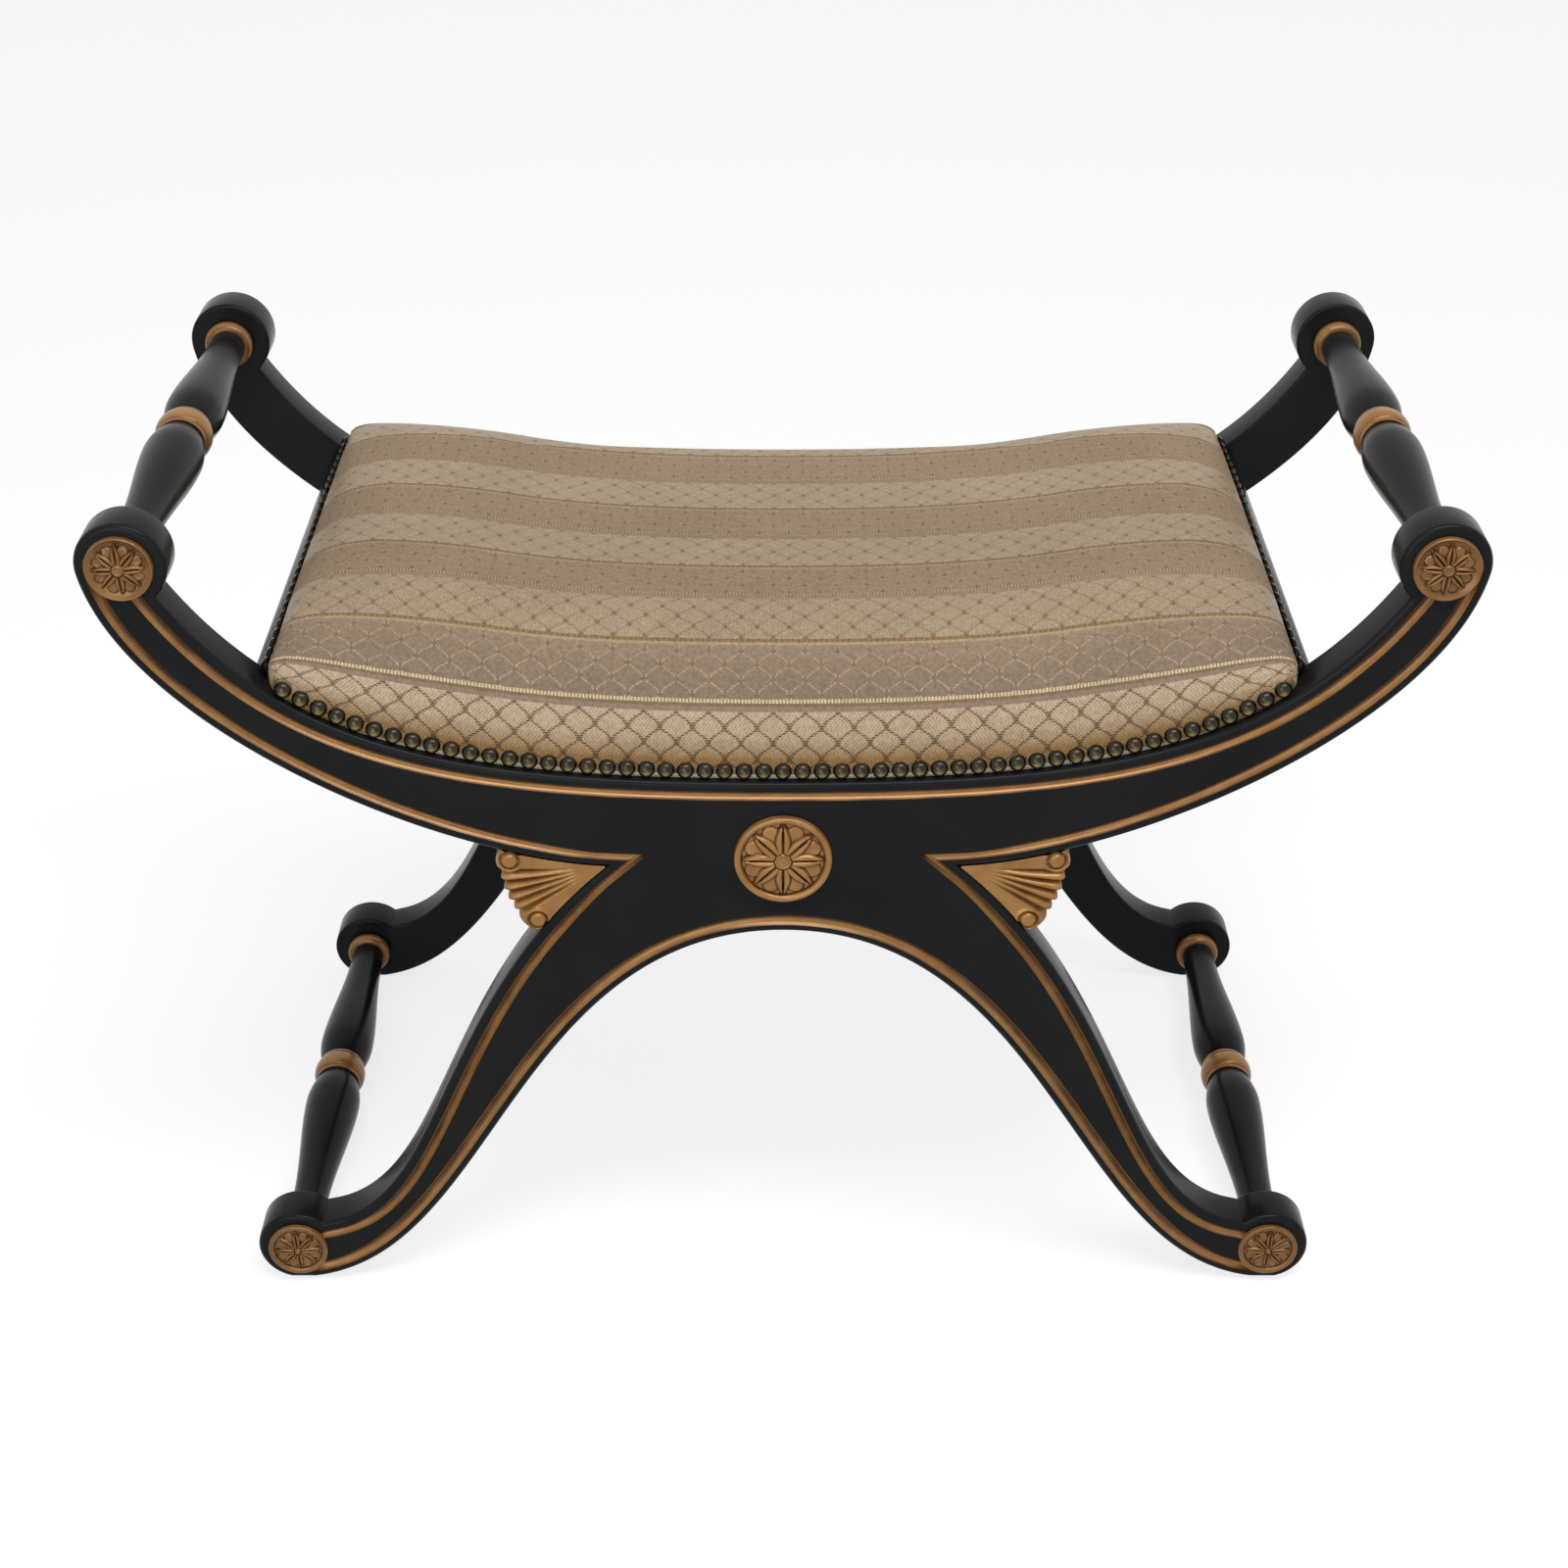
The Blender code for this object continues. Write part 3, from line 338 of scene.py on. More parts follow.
# the sawn frames: half outlines in X and Z, each one cubic curve, with grooves cut along them
frameForm = {
    "discRadius": 0.0285, "footFlat": 0.0025,
    "bowTop": ((0.0, 0.4115), (0.2095, 0.4115), (0.3268, 0.4321), (0.400, 0.567)),
    "bowLow": ((0.114, 0.349), (0.2263, 0.3537), (0.4147, 0.4520), (0.4331, 0.5592)),
    "legTop": ((0.114, 0.349), (0.2367, 0.2400), (0.2377, 0.0707), (0.320, 0.0524)),
    "arch": ((0.0, 0.2983), (0.1827, 0.2983), (0.2053, 0.0104), (0.3422, 0.0016)),
    "curvePoints": 90, "discPoints": 48, "sharp": 50,
    "outerFace": boxEnd("back_seat_rail", 1, 1), "innerFace": boxEnd("back_seat_rail", 0, 1),
    "outerRound": 0.0034, "innerRound": 0.0022, "roundSteps": 4, "flatRim": 0.0004,
    "grooveInset": 0.0094, "grooveHalf": 0.0033, "archGrooveHalf": 0.0039, "grooveDepth": 0.0030,
    "grooveColumns": 14, "groovePower": 1.8, "grooveFade": 0.004, "grooveVeer": 0.6,
    "grooveOverrun": {"bowLow": 0.013, "legTop": 0.014, "arch": 0.004},
    "notchInset": 0.0080, "notchHalf": 0.0027, "notchRun": 0.060,
    "ridgeReach": 0.312, "ridgeFront": 0.1975, "ridgeHeight": 0.012, "ridgeRoot": 0.004,
}
# brown glaze across a groove, and painted shade under its upper edge, in shares of its half width
glazeAndShadeForm = {
    "least": 0.10, "edge": 0.92, "edgeFrom": 0.72, "edgeSpan": 0.2,
    "roof": 0.95, "roofGain": 1.6, "roofFrom": 0.12, "roofSpan": 0.3, "roofLoss": 0.9,
    "middle": 0.85, "middleHalf": 0.64, "middleSpan": 0.3, "lean": 0.15, "leanGain": 3,
    "steepFrom": 0.92, "steepSpan": 0.3,
}


def bezierLine(corners, count):
    share = np.linspace(0, 1, count)[:, None]
    rest = 1 - share
    a, b, c, d = (np.array(p) for p in corners)
    return rest ** 3 * a + 3 * rest ** 2 * share * b + 3 * rest * share ** 2 * c + share ** 3 * d


def edgeLine(name):
    return bezierLine(frameForm[name], frameForm["curvePoints"])


# carries a line on past its end, veering as it goes
def runOn(line, length, veer=0.0, count=6):
    heading = math.atan2(*(line[-1] - line[-2])[::-1])
    points = [line[-1]]
    for turn in heading + np.linspace(0, veer, count):
        points.append(points[-1] + length / count * np.array((math.cos(turn), math.sin(turn))))
    return np.vstack([line, points[1:]])


def cutAtDisc(line, centre, radius):
    centre = np.array(centre)
    stop = next(i for i, p in enumerate(line) if np.linalg.norm(p - centre) < radius)
    start, step = line[stop - 1] - centre, line[stop] - line[stop - 1]
    a, b, c = step @ step, 2 * start @ step, start @ start - radius ** 2
    share = (-b - math.sqrt(b * b - 4 * a * c)) / (2 * a)
    return np.vstack([line[:stop], line[stop - 1] + step * share])


# points clockwise round a disc, between two points on it
def arcRound(centre, radius, start, end, count):
    first = math.atan2(start[1] - centre[1], start[0] - centre[0])
    last = math.atan2(end[1] - centre[1], end[0] - centre[0])
    while last >= first:
        last -= fullTurn
    turn = np.linspace(first, last, count + 1)[1:-1]
    return np.array(centre) + radius * np.stack([np.cos(turn), np.sin(turn)], 1)


def mirrorLine(line):
    return line[::-1] * (-1, 1)


# the whole outline, clockwise seen from the front
def frameOutline():
    form = frameForm
    radius, flat = form["discRadius"], form["footFlat"]
    top = cutAtDisc(edgeLine("bowTop"), discAt["arm"], radius)
    low = edgeLine("bowLow")
    arm = arcRound(discAt["arm"], radius, top[-1], low[-1], form["discPoints"])
    leg = cutAtDisc(runOn(edgeLine("legTop"), radius), discAt["foot"], radius)
    footX, footZ = discAt["foot"]
    toe = np.array((footX + math.sqrt(radius ** 2 - (footZ - flat) ** 2), flat))
    foot = arcRound(discAt["foot"], radius, leg[-1], toe, form["discPoints"])
    arch = edgeLine("arch")
    stop = next(i for i, p in enumerate(arch) if p[1] < flat)
    share = (arch[stop - 1][1] - flat) / (arch[stop - 1][1] - arch[stop][1])
    heel = arch[stop - 1] + (arch[stop] - arch[stop - 1]) * share
    right = np.vstack([top, arm, low[::-1], leg[1:], foot, [toe], [heel], arch[:stop][::-1]])
    return np.vstack([right, mirrorLine(right)[1:-1]])


# offset directions into the wood, mitred at corners
def inwardMitres(line, closed):
    ahead = np.roll(line, -1, 0) - line
    ahead /= np.linalg.norm(ahead, axis=1)[:, None]
    after = np.stack([ahead[:, 1], -ahead[:, 0]], 1)
    before = np.roll(after, 1, 0)
    if not closed:
        before[0] = after[0]
        after[-1] = before[-1]
    return (before + after) / (1 + (before * after).sum(1))[:, None]


def lineRun(line):
    return np.concatenate([[0], np.cumsum(np.linalg.norm(np.diff(line, axis=0), axis=1))])


# each groove is a path along the frame's edges with its inset and half width at every point
def groovePaths():
    form = frameForm
    over = form["grooveOverrun"]
    top = edgeLine("bowTop")
    arch = runOn(edgeLine("arch"), over["arch"])[::-1]
    low = runOn(edgeLine("bowLow"), over["bowLow"], form["grooveVeer"])[::-1]
    leg = runOn(edgeLine("legTop"), over["legTop"])
    notch = np.vstack([low, leg[1:]])
    fromTip = np.abs(lineRun(notch) - lineRun(notch)[len(low) - 1])
    blend = smoothStep(fromTip / form["notchRun"])
    inset = form["notchInset"] + (form["grooveInset"] - form["notchInset"]) * blend
    half = form["notchHalf"] + (form["grooveHalf"] - form["notchHalf"]) * blend
    paths = [(notch, inset, half), (mirrorLine(notch), inset[::-1], half[::-1])]
    for line, width in ((np.vstack([arch[:-1], mirrorLine(arch)]), form["archGrooveHalf"]),
                        (np.vstack([mirrorLine(top)[:-1], top]), form["grooveHalf"])):
        paths.insert(0, (line, np.full(len(line), form["grooveInset"]), np.full(len(line), width)))
    return paths


# the glaze stays along both edges and in the middle of the steep runs; the brown under the upper edge, where
# the wall faces down, is painted shade
def grooveGlazeAndShade(share, upward):
    form = glazeAndShadeForm
    steep = smoothStep((form["steepFrom"] - np.abs(upward)) / form["steepSpan"])
    lean = form["lean"] * np.clip(form["leanGain"] * upward, -1, 1)
    # painted shade on the wall that faces down, less on the steep runs
    roof = np.clip(upward * np.sign(share) * form["roofGain"], 0, 1) * (1 - form["roofLoss"] * steep)
    roof = roof * smoothStep((abs(share) - form["roofFrom"]) / form["roofSpan"])
    edge = smoothStep((abs(share) - form["edgeFrom"]) / form["edgeSpan"]) * (1 - steep)
    middle = steep * smoothStep((form["middleHalf"] - np.abs(share - lean)) / form["middleSpan"])
    brown = np.maximum(form["edge"] * edge, form["middle"] * middle)
    return np.maximum(np.maximum(brown, form["roof"] * roof), form["least"])


def insideLoop(loop, spots):
    x, z = spots.T
    hit = np.zeros(len(spots), bool)
    for (ax, az), (bx, bz) in zip(loop, np.roll(loop, -1, 0)):
        if az != bz:
            hit ^= ((az > z) != (bz > z)) & (x < (bx - ax) * (z - az) / (bz - az) + ax)
    return hit


# flat triangles between a border and the openings in it, as indices into the flat points
def fillFlat(flat, loops):
    used = [i for loop in loops for i in loop]
    rank = {index: k for k, index in enumerate(used)}
    edges = [(rank[a], rank[b]) for loop in loops for a, b in zip(loop, loop[1:] + loop[:1])]
    found = delaunay_2d_cdt([Vector(flat[i]) for i in used], edges, [], 1, 1e-7)
    spots = np.array([tuple(p) for p in found[0]])
    triangles = np.array(found[2])
    middles = spots[triangles].mean(1)
    keep = np.ones(len(triangles), bool)
    for loop in loops[1:]:
        keep &= ~insideLoop(np.array([flat[i] for i in loop]), middles)
    return [[used[found[3][k][0]] for k in triangle] for triangle in triangles[keep]]


outline = frameOutline()
outlineMitres = inwardMitres(outline, True)
lipLine = edgeLine("bowTop")


# height of the frame's upper edge, on which the seat lies
def lip(x):
    return np.interp(np.abs(x), lipLine[:, 0], lipLine[:, 1])


def buildFrame(name, side, nodes):
    form = frameForm
    flat, depths, glazeAndShade, faces, slots, smooth = [], [], [], [], [], []

    def addRow(line, depth, brown=0.0):
        depths.extend(np.broadcast_to(depth, len(line)))
        glazeAndShade.extend(np.broadcast_to(brown, len(line)))
        return addPoints(flat, map(tuple, line))

    def addFaces(new, slot, soft):
        faces.extend(new)
        slots.extend([slot] * len(new))
        smooth.extend([soft] * len(new))

    # rounded edges on both faces, and the wall between them
    thickness = form["outerFace"] - form["innerFace"]
    borders = []
    for radius, base, way in ((form["outerRound"], 0.0, 1), (form["innerRound"], thickness, -1)):
        rows = []
        for turn in np.linspace(0, math.pi / 2, form["roundSteps"] + 1):
            inset = radius * (1 - math.cos(turn))
            rows.append(addRow(outline + outlineMitres * inset, base + way * radius * (1 - math.sin(turn))))
        rows.append(addRow(outline + outlineMitres * (radius + form["flatRim"]), base))
        addFaces(rowFaces(rows), 0, True)
        borders.append((rows[0], rows[-1]))
    addFaces(rowFaces([borders[0][0], borders[1][0]]), 0, True)

    # grooves, then the flat faces round them
    loops = [borders[0][1]]
    for line, inset, half in groovePaths():
        mitres = inwardMitres(line, False)
        run = lineRun(line)
        fade = smoothStep(np.minimum(run, run[-1] - run) / form["grooveFade"])
        columns = []
        for share in np.linspace(-1, 1, form["grooveColumns"] + 1):
            sink = form["grooveDepth"] * fade * (1 - abs(share) ** form["groovePower"])
            columns.append(addRow(line + mitres * (inset + half * share)[:, None], sink,
                                  grooveGlazeAndShade(share, mitres[:, 1])))
        addFaces(rowFaces(columns, closed=False), 1, True)
        first, last = ([c[end] for c in columns[1:-1]] for end in (0, -1))
        loops.append(columns[0] + last + columns[-1][::-1] + first[::-1])
    addFaces(fillFlat(flat, loops), 0, False)
    addFaces(fillFlat(flat, [borders[1][1]]), 0, False)

    # tacking ridge behind the lip, under the cover
    stations = np.linspace(-form["ridgeReach"], form["ridgeReach"], form["curvePoints"])
    rows = []
    for depth in (form["outerFace"] - form["ridgeFront"], thickness - form["innerRound"]):
        for rise in (-form["ridgeRoot"], form["ridgeHeight"]):
            rows.append(addRow(np.stack([stations, lip(stations) + rise], 1), depth))
    ridge = [rows[k] for k in (0, 1, 3, 2)]
    addFaces(rowFaces(ridge + ridge[:1], closed=False), 0, False)
    addFaces([[row[end] for row in ridge] for end in (0, -1)], 0, False)

    points = [(x, side * (form["outerFace"] - depth), z) for (x, z), depth in zip(flat, depths)]
    piece = newPiece(name, points, faces, [lacquer, gilt], slots, smooth)
    seatCarved(piece, glazeAndShade, form["sharp"], "black_lacquer", *nodes)
    print(name, len(piece.data.polygons), "faces")


for side, face in facings:
    hidden = [face + "_" + hand + "_" + part for _, hand in hands for part in ("arm", "leg")]
    buildFrame(face + "_frame", side, [face + "_seat_rail"] + hidden)


# carved rosettes, sizes in shares of the radius, heights in metres
rosetteForm = {
    "radius": boxEnd("front_centre_rosette", 1, 0), "petals": 8, "field": 0.0012, "patina": 0.0,
    "rimFrom": 0.845, "rimTop": 0.935, "rimHigh": 0.0044, "rimEdge": 0.0022, "rimDish": 0.0,
    "petalFrom": 0.13, "petalTo": 0.845, "petalHalf": 0.168, "petalRise": 0.0046, "petalSlot": 0.28,
    "petalCrest": 0.42, "petalStart": 0.18, "petalPower": 0.85, "petalFall": 0.45,
    "lowMiddle": 0.590, "lowLong": 0.235, "lowHalf": 0.190, "lowRise": 0.0021,
    "lowPower": 0.3, "lowDish": 0.28, "lowDishHalf": 0.6,
    "button": 0.190, "buttonFlat": 0.130, "buttonHeight": 0.0054, "buttonFoot": 0.0020,
    "bead": 0.0005, "beadGain": 1.6, "beadEnd": 0.62,
    "firstRing": 0.012, "rings": 64, "rimRings": 16, "turns": 240, "twist": 0.06, "sharp": 62,
    "hollowReach": 2, "hollowDepth": 0.00028, "hollowFrom": 0.3, "hollowMost": 0.95,
}
# the arm's flower is smaller in a wide dished rim, the foot's has a small button and narrow petals,
# and both keep more brown all over
rosetteKinds = {
    "arm": {**rosetteForm, "radius": 0.0212, "rimFrom": 0.66, "rimTop": 0.955, "rimHigh": 0.0036,
            "rimDish": 1.0, "petalTo": 0.800, "petalHalf": 0.158, "petalRise": 0.0040, "lowMiddle": 0.550,
            "lowLong": 0.225, "lowHalf": 0.175, "button": 0.205, "buttonFlat": 0.10, "buttonHeight": 0.0050,
            "patina": 0.44},
    "foot": {**rosetteForm, "radius": 0.0210, "rimFrom": 0.80, "rimTop": 0.94, "rimHigh": 0.0032,
             "petalTo": 0.800, "petalHalf": 0.130, "petalRise": 0.0034, "petalSlot": 0.05, "lowMiddle": 0.570,
             "lowLong": 0.215, "lowHalf": 0.145, "lowRise": 0.0020, "button": 0.115, "buttonFlat": 0.05,
             "buttonHeight": 0.0044, "patina": 0.48},
}


def wrapTurn(turn, step):
    return (turn + step / 2) % step - step / 2


def rosetteHeight(form, r, turn):
    step = fullTurn / form["petals"]
    field = form["field"]
    height = np.full(r.shape, field)
    # low round petals behind, a little hollow along the middle
    near = wrapTurn(turn + step / 2, step)
    along, across = r * np.cos(near), r * np.sin(near)
    egg = ((along - form["lowMiddle"]) / form["lowLong"]) ** 2 + (across / form["lowHalf"]) ** 2
    dish = np.minimum(np.abs(across) / (form["lowDishHalf"] * form["lowHalf"]), 1) ** 2
    low = form["lowRise"] * np.clip(1 - egg, 0, 1) ** form["lowPower"] * (1 - form["lowDish"] * (1 - dish))
    height += np.where(egg < 1, low, 0)
    # pointed petals in front, two round halves with a slot between them
    near = wrapTurn(turn, step)
    along, across = r * np.cos(near), np.abs(r * np.sin(near))
    share = np.clip((along - form["petalFrom"]) / (form["petalTo"] - form["petalFrom"]), 0, 1)
    taper = np.sin(math.pi * (form["petalStart"] + (1 - form["petalStart"]) * share))
    place = across / np.maximum(form["petalHalf"] * taper ** form["petalPower"], 1e-5)
    crest, slot = form["petalCrest"], form["petalSlot"]
    inner = slot + (1 - slot) * np.sqrt(np.sin(math.pi / 2 * np.minimum(place / crest, 1)))
    outer = np.sqrt(np.clip(1 - ((place - crest) / (1 - crest)) ** 2, 0, 1))
    petal = np.where(place < crest, inner, outer) * (1 - form["petalFall"] * share ** 3)
    petal = np.maximum(height, field + form["petalRise"] * petal)
    height = np.where((place < 1) & (share > 0) & (share < 1), petal, height)
    # round rim, or one dished down to the flower
    climb = np.clip((r - form["rimFrom"]) / (form["rimTop"] - form["rimFrom"]), 0, 1)
    climb = form["rimDish"] * climb ** 2 + (1 - form["rimDish"]) * np.sqrt(1 - (1 - climb) ** 2)
    fall = np.clip((r - form["rimTop"]) / (1 - form["rimTop"]), 0, 1)
    rim = field + (form["rimHigh"] - field) * climb
    rim = rim - (form["rimHigh"] - form["rimEdge"]) * (1 - np.sqrt(1 - fall ** 2))
    height = np.where(r > form["rimFrom"], np.maximum(rim, height), height)
    # button with a bead round it
    out = np.clip((r - form["buttonFlat"]) / (form["button"] - form["buttonFlat"]), 0, 1)
    top, foot, end = form["buttonHeight"], form["buttonFoot"], form["beadEnd"]
    button = top + form["bead"] * np.sin(math.pi * np.minimum(out * form["beadGain"], 1))
    wall = foot + (top - foot) * np.sqrt(np.clip(1 - ((out - end) / (1 - end)) ** 2, 0, 1))
    button = np.where(out > end, wall, button)
    return np.where(r < form["button"], np.maximum(button, foot), height)


def buildRosette(name, form, x, z, side, node, twist=0.0):
    r = np.concatenate([np.linspace(form["firstRing"], form["rimFrom"], form["rings"]),
                        np.linspace(form["rimFrom"], 1, form["rimRings"])[1:]])
    count = form["turns"]
    turn = np.linspace(0, fullTurn, count, endpoint=False)
    rr, tt = np.meshgrid(r, turn, indexing="ij")
    height = rosetteHeight(form, rr, tt)
    # glaze where a place lies under its neighbours
    reach = form["hollowReach"]
    beside = (np.roll(height, reach, 1) + np.roll(height, -reach, 1)) / 2
    inOut = height.copy()
    inOut[reach:-reach] = (height[2 * reach:] + height[:-2 * reach]) / 2
    hollow = np.clip(np.maximum(beside, inOut) - height, 0, None) / form["hollowDepth"]
    hollow = np.clip(hollow - form["hollowFrom"], 0, 1) * form["hollowMost"]
    hollow = np.maximum(np.where(rr > form["rimTop"], 0, hollow), form["patina"])
    lift = side * (frameForm["outerFace"] + pieceGap)
    px = x + form["radius"] * rr * np.sin(tt + twist)
    pz = z + form["radius"] * rr * np.cos(tt + twist)
    points = list(np.stack([px, lift + side * height, pz], -1).reshape(-1, 3))
    rows = gridRows(len(r), count)
    rows.append(addPoints(points, [(p[0], lift, p[2]) for p in points[-count:]]))
    middles = addPoints(points, [(x, lift + side * height[0].mean(), z), (x, lift, z)])
    faces = rowFaces(rows)
    for row, middle in zip((rows[0], rows[-1]), middles):
        faces += [(row[i], row[(i + 1) % count], middle) for i in range(count)]
    piece = newPiece(name, points, faces, [gilt])
    seatCarved(piece, np.append(hollow, np.zeros(count + 2)), form["sharp"], "gilt", node)


for side, face in facings:
    node = face + "_centre_rosette"
    buildRosette(face + "_centre_carving", rosetteForm, 0.0, boxMiddle(node, 2), side, node)
    for mirror, hand in hands:
        for part, form in rosetteKinds.items():
            (x, z), stem = discAt[part], face + "_" + hand + "_" + part
            buildRosette(stem + "_carving", form, mirror * x, z, side, stem + "_rosette",
                         mirror * form["twist"])
print("rosettes carved")


# fans in the notches, in polar rows about the notch's tip, with volutes placed in X and Z and the round ends
# past them as shares of the arc
fanForm = {
    "radius": 0.0682, "thickness": 0.022, "inset": 0.0012, "rows": 76, "columns": 144, "firstRow": 0.03,
    "ribs": 4, "ribFrom": 0.28, "ribTo": 0.76, "ribStart": 0.26, "ribFull": 0.80, "ribDeep": 0.0030,
    "ribCrown": 0.0016, "ribPower": 0.9, "ribShoulder": 0.07, "scallop": 0.0024, "scallopPower": 0.6,
    "rimFrom": 0.90, "rimFall": 0.0030, "rimMost": 0.995,
    "volutes": ((0.1780, 0.3528), (0.1614, 0.3072)), "voluteShares": (0.875, 0.15), "voluteHalf": 0.14,
    "voluteBulge": 0.0048, "voluteRadius": 0.0056, "voluteHeight": 0.0016, "voluteEdge": 0.0008,
    "voluteGroove": 0.0020, "grooveWide": 0.0009, "bandAt": 0.0022, "bandShare": 0.8, "bandWide": 0.0011,
    "calmFrom": 0.001, "calmSpan": 0.004, "sharp": 50,
    "hollowReach": 2, "hollowDepth": 0.0008, "hollowFrom": 0.15, "hollowMost": 0.5, "hollowMargin": 3,
}


# direction of an edge seen from the tip, at each distance
def edgeBearing(name, tip, distances):
    away = edgeLine(name) - tip
    bearing = np.arctan2(away[:, 1], away[:, 0])
    return np.interp(distances, np.hypot(*away.T)[1:], bearing[1:])


def buildFan(name, side, mirror, node):
    form = fanForm
    tip = np.array(frameForm["legTop"][0])
    share = np.linspace(0, 1, form["columns"] + 1)
    phase = (share - form["ribFrom"]) / (form["ribTo"] - form["ribFrom"]) * form["ribs"]
    inRibs = (phase > 0) & (phase < form["ribs"])
    lobe = np.where(inRibs, np.abs(np.sin(math.pi * phase)), 0)
    reach = form["radius"] + form["scallop"] * lobe ** form["scallopPower"]
    # round ends past the volutes
    for centre in form["voluteShares"]:
        bulge = np.sqrt(np.clip(1 - ((share - centre) / form["voluteHalf"]) ** 2, 0, 1))
        reach = np.maximum(reach, form["radius"] + form["voluteBulge"] * bulge)
    rows = form["firstRow"] + (1 - form["firstRow"]) * np.linspace(0, 1, form["rows"])
    dist = rows[:, None] * reach[None, :]
    low = edgeBearing("legTop", tip, dist) + pieceGap / dist
    high = edgeBearing("bowLow", tip, dist) - pieceGap / dist
    bearing = low + (high - low) * share[None, :]
    x = tip[0] + dist * np.cos(bearing)
    z = tip[1] + dist * np.sin(bearing)
    # ribs that grow from the tip to the rim
    grow = smoothStep((rows - form["ribStart"]) / (form["ribFull"] - form["ribStart"]))[:, None]
    ribs = form["ribCrown"] - (form["ribDeep"] + form["ribCrown"]) * (1 - lobe ** form["ribPower"])
    beside = np.maximum(form["ribFrom"] - share, share - form["ribTo"]) / form["ribShoulder"]
    ribs = np.where(inRibs, ribs, -form["ribDeep"] * (1 - smoothStep(beside)) ** 2)
    height = grow * ribs[None, :]
    # volutes: a flat button in a groove, with a band round it
    for cx, cz in form["volutes"]:
        off = np.hypot(x - cx, z - cz) - form["voluteRadius"]
        button = form["voluteHeight"] * smoothStep(-off / form["voluteEdge"] + 0.5)
        groove = form["voluteGroove"] * np.exp(-(off / form["grooveWide"]) ** 2)
        band = form["bandShare"] * np.exp(-((off - form["bandAt"]) / form["bandWide"]) ** 2)
        calm = smoothStep((off - form["calmFrom"]) / form["calmSpan"])
        height = height * calm + button - groove + form["voluteHeight"] * band
    fall = np.clip((rows - form["rimFrom"]) / (1 - form["rimFrom"]), 0, form["rimMost"])[:, None]
    height = height - form["rimFall"] * (1 - np.sqrt(1 - fall ** 2))
    lap = (np.roll(height, form["hollowReach"], 1) + np.roll(height, -form["hollowReach"], 1)) / 2 - height
    hollow = np.clip(lap / form["hollowDepth"] - form["hollowFrom"], 0, 1) * form["hollowMost"]
    hollow[:, :form["hollowMargin"]] = 0
    hollow[:, -form["hollowMargin"]:] = 0
    # gilt front, lacquered edge and back
    face = frameForm["outerFace"] - form["inset"]
    points = list(np.stack([mirror * x, side * (face + height), z], -1).reshape(-1, 3))
    grid = gridRows(*x.shape)
    faces = rowFaces(grid, closed=False)
    front = len(faces)
    rim = [grid[i][j] for i, j in gridRim(*x.shape)]
    loop = addPoints(points, [(points[i][0], side * (face - form["thickness"]), points[i][2]) for i in rim])
    faces += rowFaces([rim, loop]) + fillFlat([(p[0], p[2]) for p in points], [loop])
    slots = [0] * front + [1] * (len(faces) - front)
    piece = newPiece(name, points, faces, [gilt, lacquer], slots)
    seatCarved(piece, np.append(hollow, np.zeros(len(rim))), form["sharp"], "gilt", node)


for side, face in facings:
    for mirror, hand in hands:
        stem = face + "_" + hand + "_fan"
        buildFan(stem + "_carving", side, mirror, stem)
print("fans carved")


# turned rails: half profile from the middle, each point as (distance, radius, finish, glaze)
railForm = {
    "halfLength": frameForm["innerFace"] - pieceGap, "turns": 64, "sharp": 40,
    "ringGlaze": 0.75, "glazePower": 3,
    "beadHalf": 0.0082, "beadRadius": 0.0193, "beadFoot": 0.0160, "beadSteps": 11, "beadGlazePower": 6,
    "filletWidth": 0.0034, "filletRadius": 0.0170, "filletPower": 0.5, "filletSteps": 9,
    "shoulderGap": 0.0002, "shoulderRadius": 0.0152, "swellAt": 0.0400, "swellRadius": 0.0201,
    "swellPower": 0.85, "swellSteps": 15, "taper": 0.86, "taperSteps": 29, "endRadius": 0.0124,
    "collarWidth": 0.0110, "collarRadius": 0.0172, "collarPower": 0.7, "collarSteps": 15, "capRadius": 0.004,
}


# a gilt round between two corners, brown in both
def roundMoulding(start, width, foot, top, power, steps):
    profile = []
    for turn in np.linspace(-math.pi / 2, math.pi / 2, steps):
        brown = railForm["ringGlaze"] * abs(math.sin(turn)) ** railForm["glazePower"]
        lift = (top - foot) * math.cos(turn) ** power
        profile.append((start + width / 2 * (1 + math.sin(turn)), foot + lift, 1, brown))
    return profile


def railProfile():
    form = railForm
    profile = []
    # one round bead with a small fillet beside it
    for turn in np.linspace(0, math.pi / 2, form["beadSteps"]):
        brown = form["ringGlaze"] * math.sin(turn) ** form["beadGlazePower"]
        lift = (form["beadRadius"] - form["beadFoot"]) * math.cos(turn)
        profile.append((form["beadHalf"] * math.sin(turn), form["beadFoot"] + lift, 1, brown))
    profile += roundMoulding(form["beadHalf"], form["filletWidth"], form["beadFoot"], form["filletRadius"],
                             form["filletPower"], form["filletSteps"])
    # swelling vase with a long taper
    start = form["beadHalf"] + form["filletWidth"] + form["shoulderGap"]
    rise = form["swellRadius"] - form["shoulderRadius"]
    for share in np.linspace(0, 1, form["swellSteps"]):
        lift = rise * math.sin(math.pi / 2 * share) ** form["swellPower"]
        profile.append((start + (form["swellAt"] - start) * share, form["shoulderRadius"] + lift, 0, 0.0))
    last = form["halfLength"] - form["collarWidth"]
    for share in np.linspace(0, 1, form["taperSteps"])[1:]:
        fall = 0.5 - 0.5 * math.cos(math.pi * share ** form["taper"])
        radius = form["swellRadius"] + (form["endRadius"] - form["swellRadius"]) * fall
        profile.append((form["swellAt"] + (last - form["swellAt"]) * share, radius, 0, 0.0))
    # round collar against the disc
    profile += roundMoulding(last, form["collarWidth"], form["endRadius"], form["collarRadius"],
                             form["collarPower"], form["collarSteps"])
    return profile + [(form["halfLength"], form["capRadius"], 1, form["ringGlaze"])]


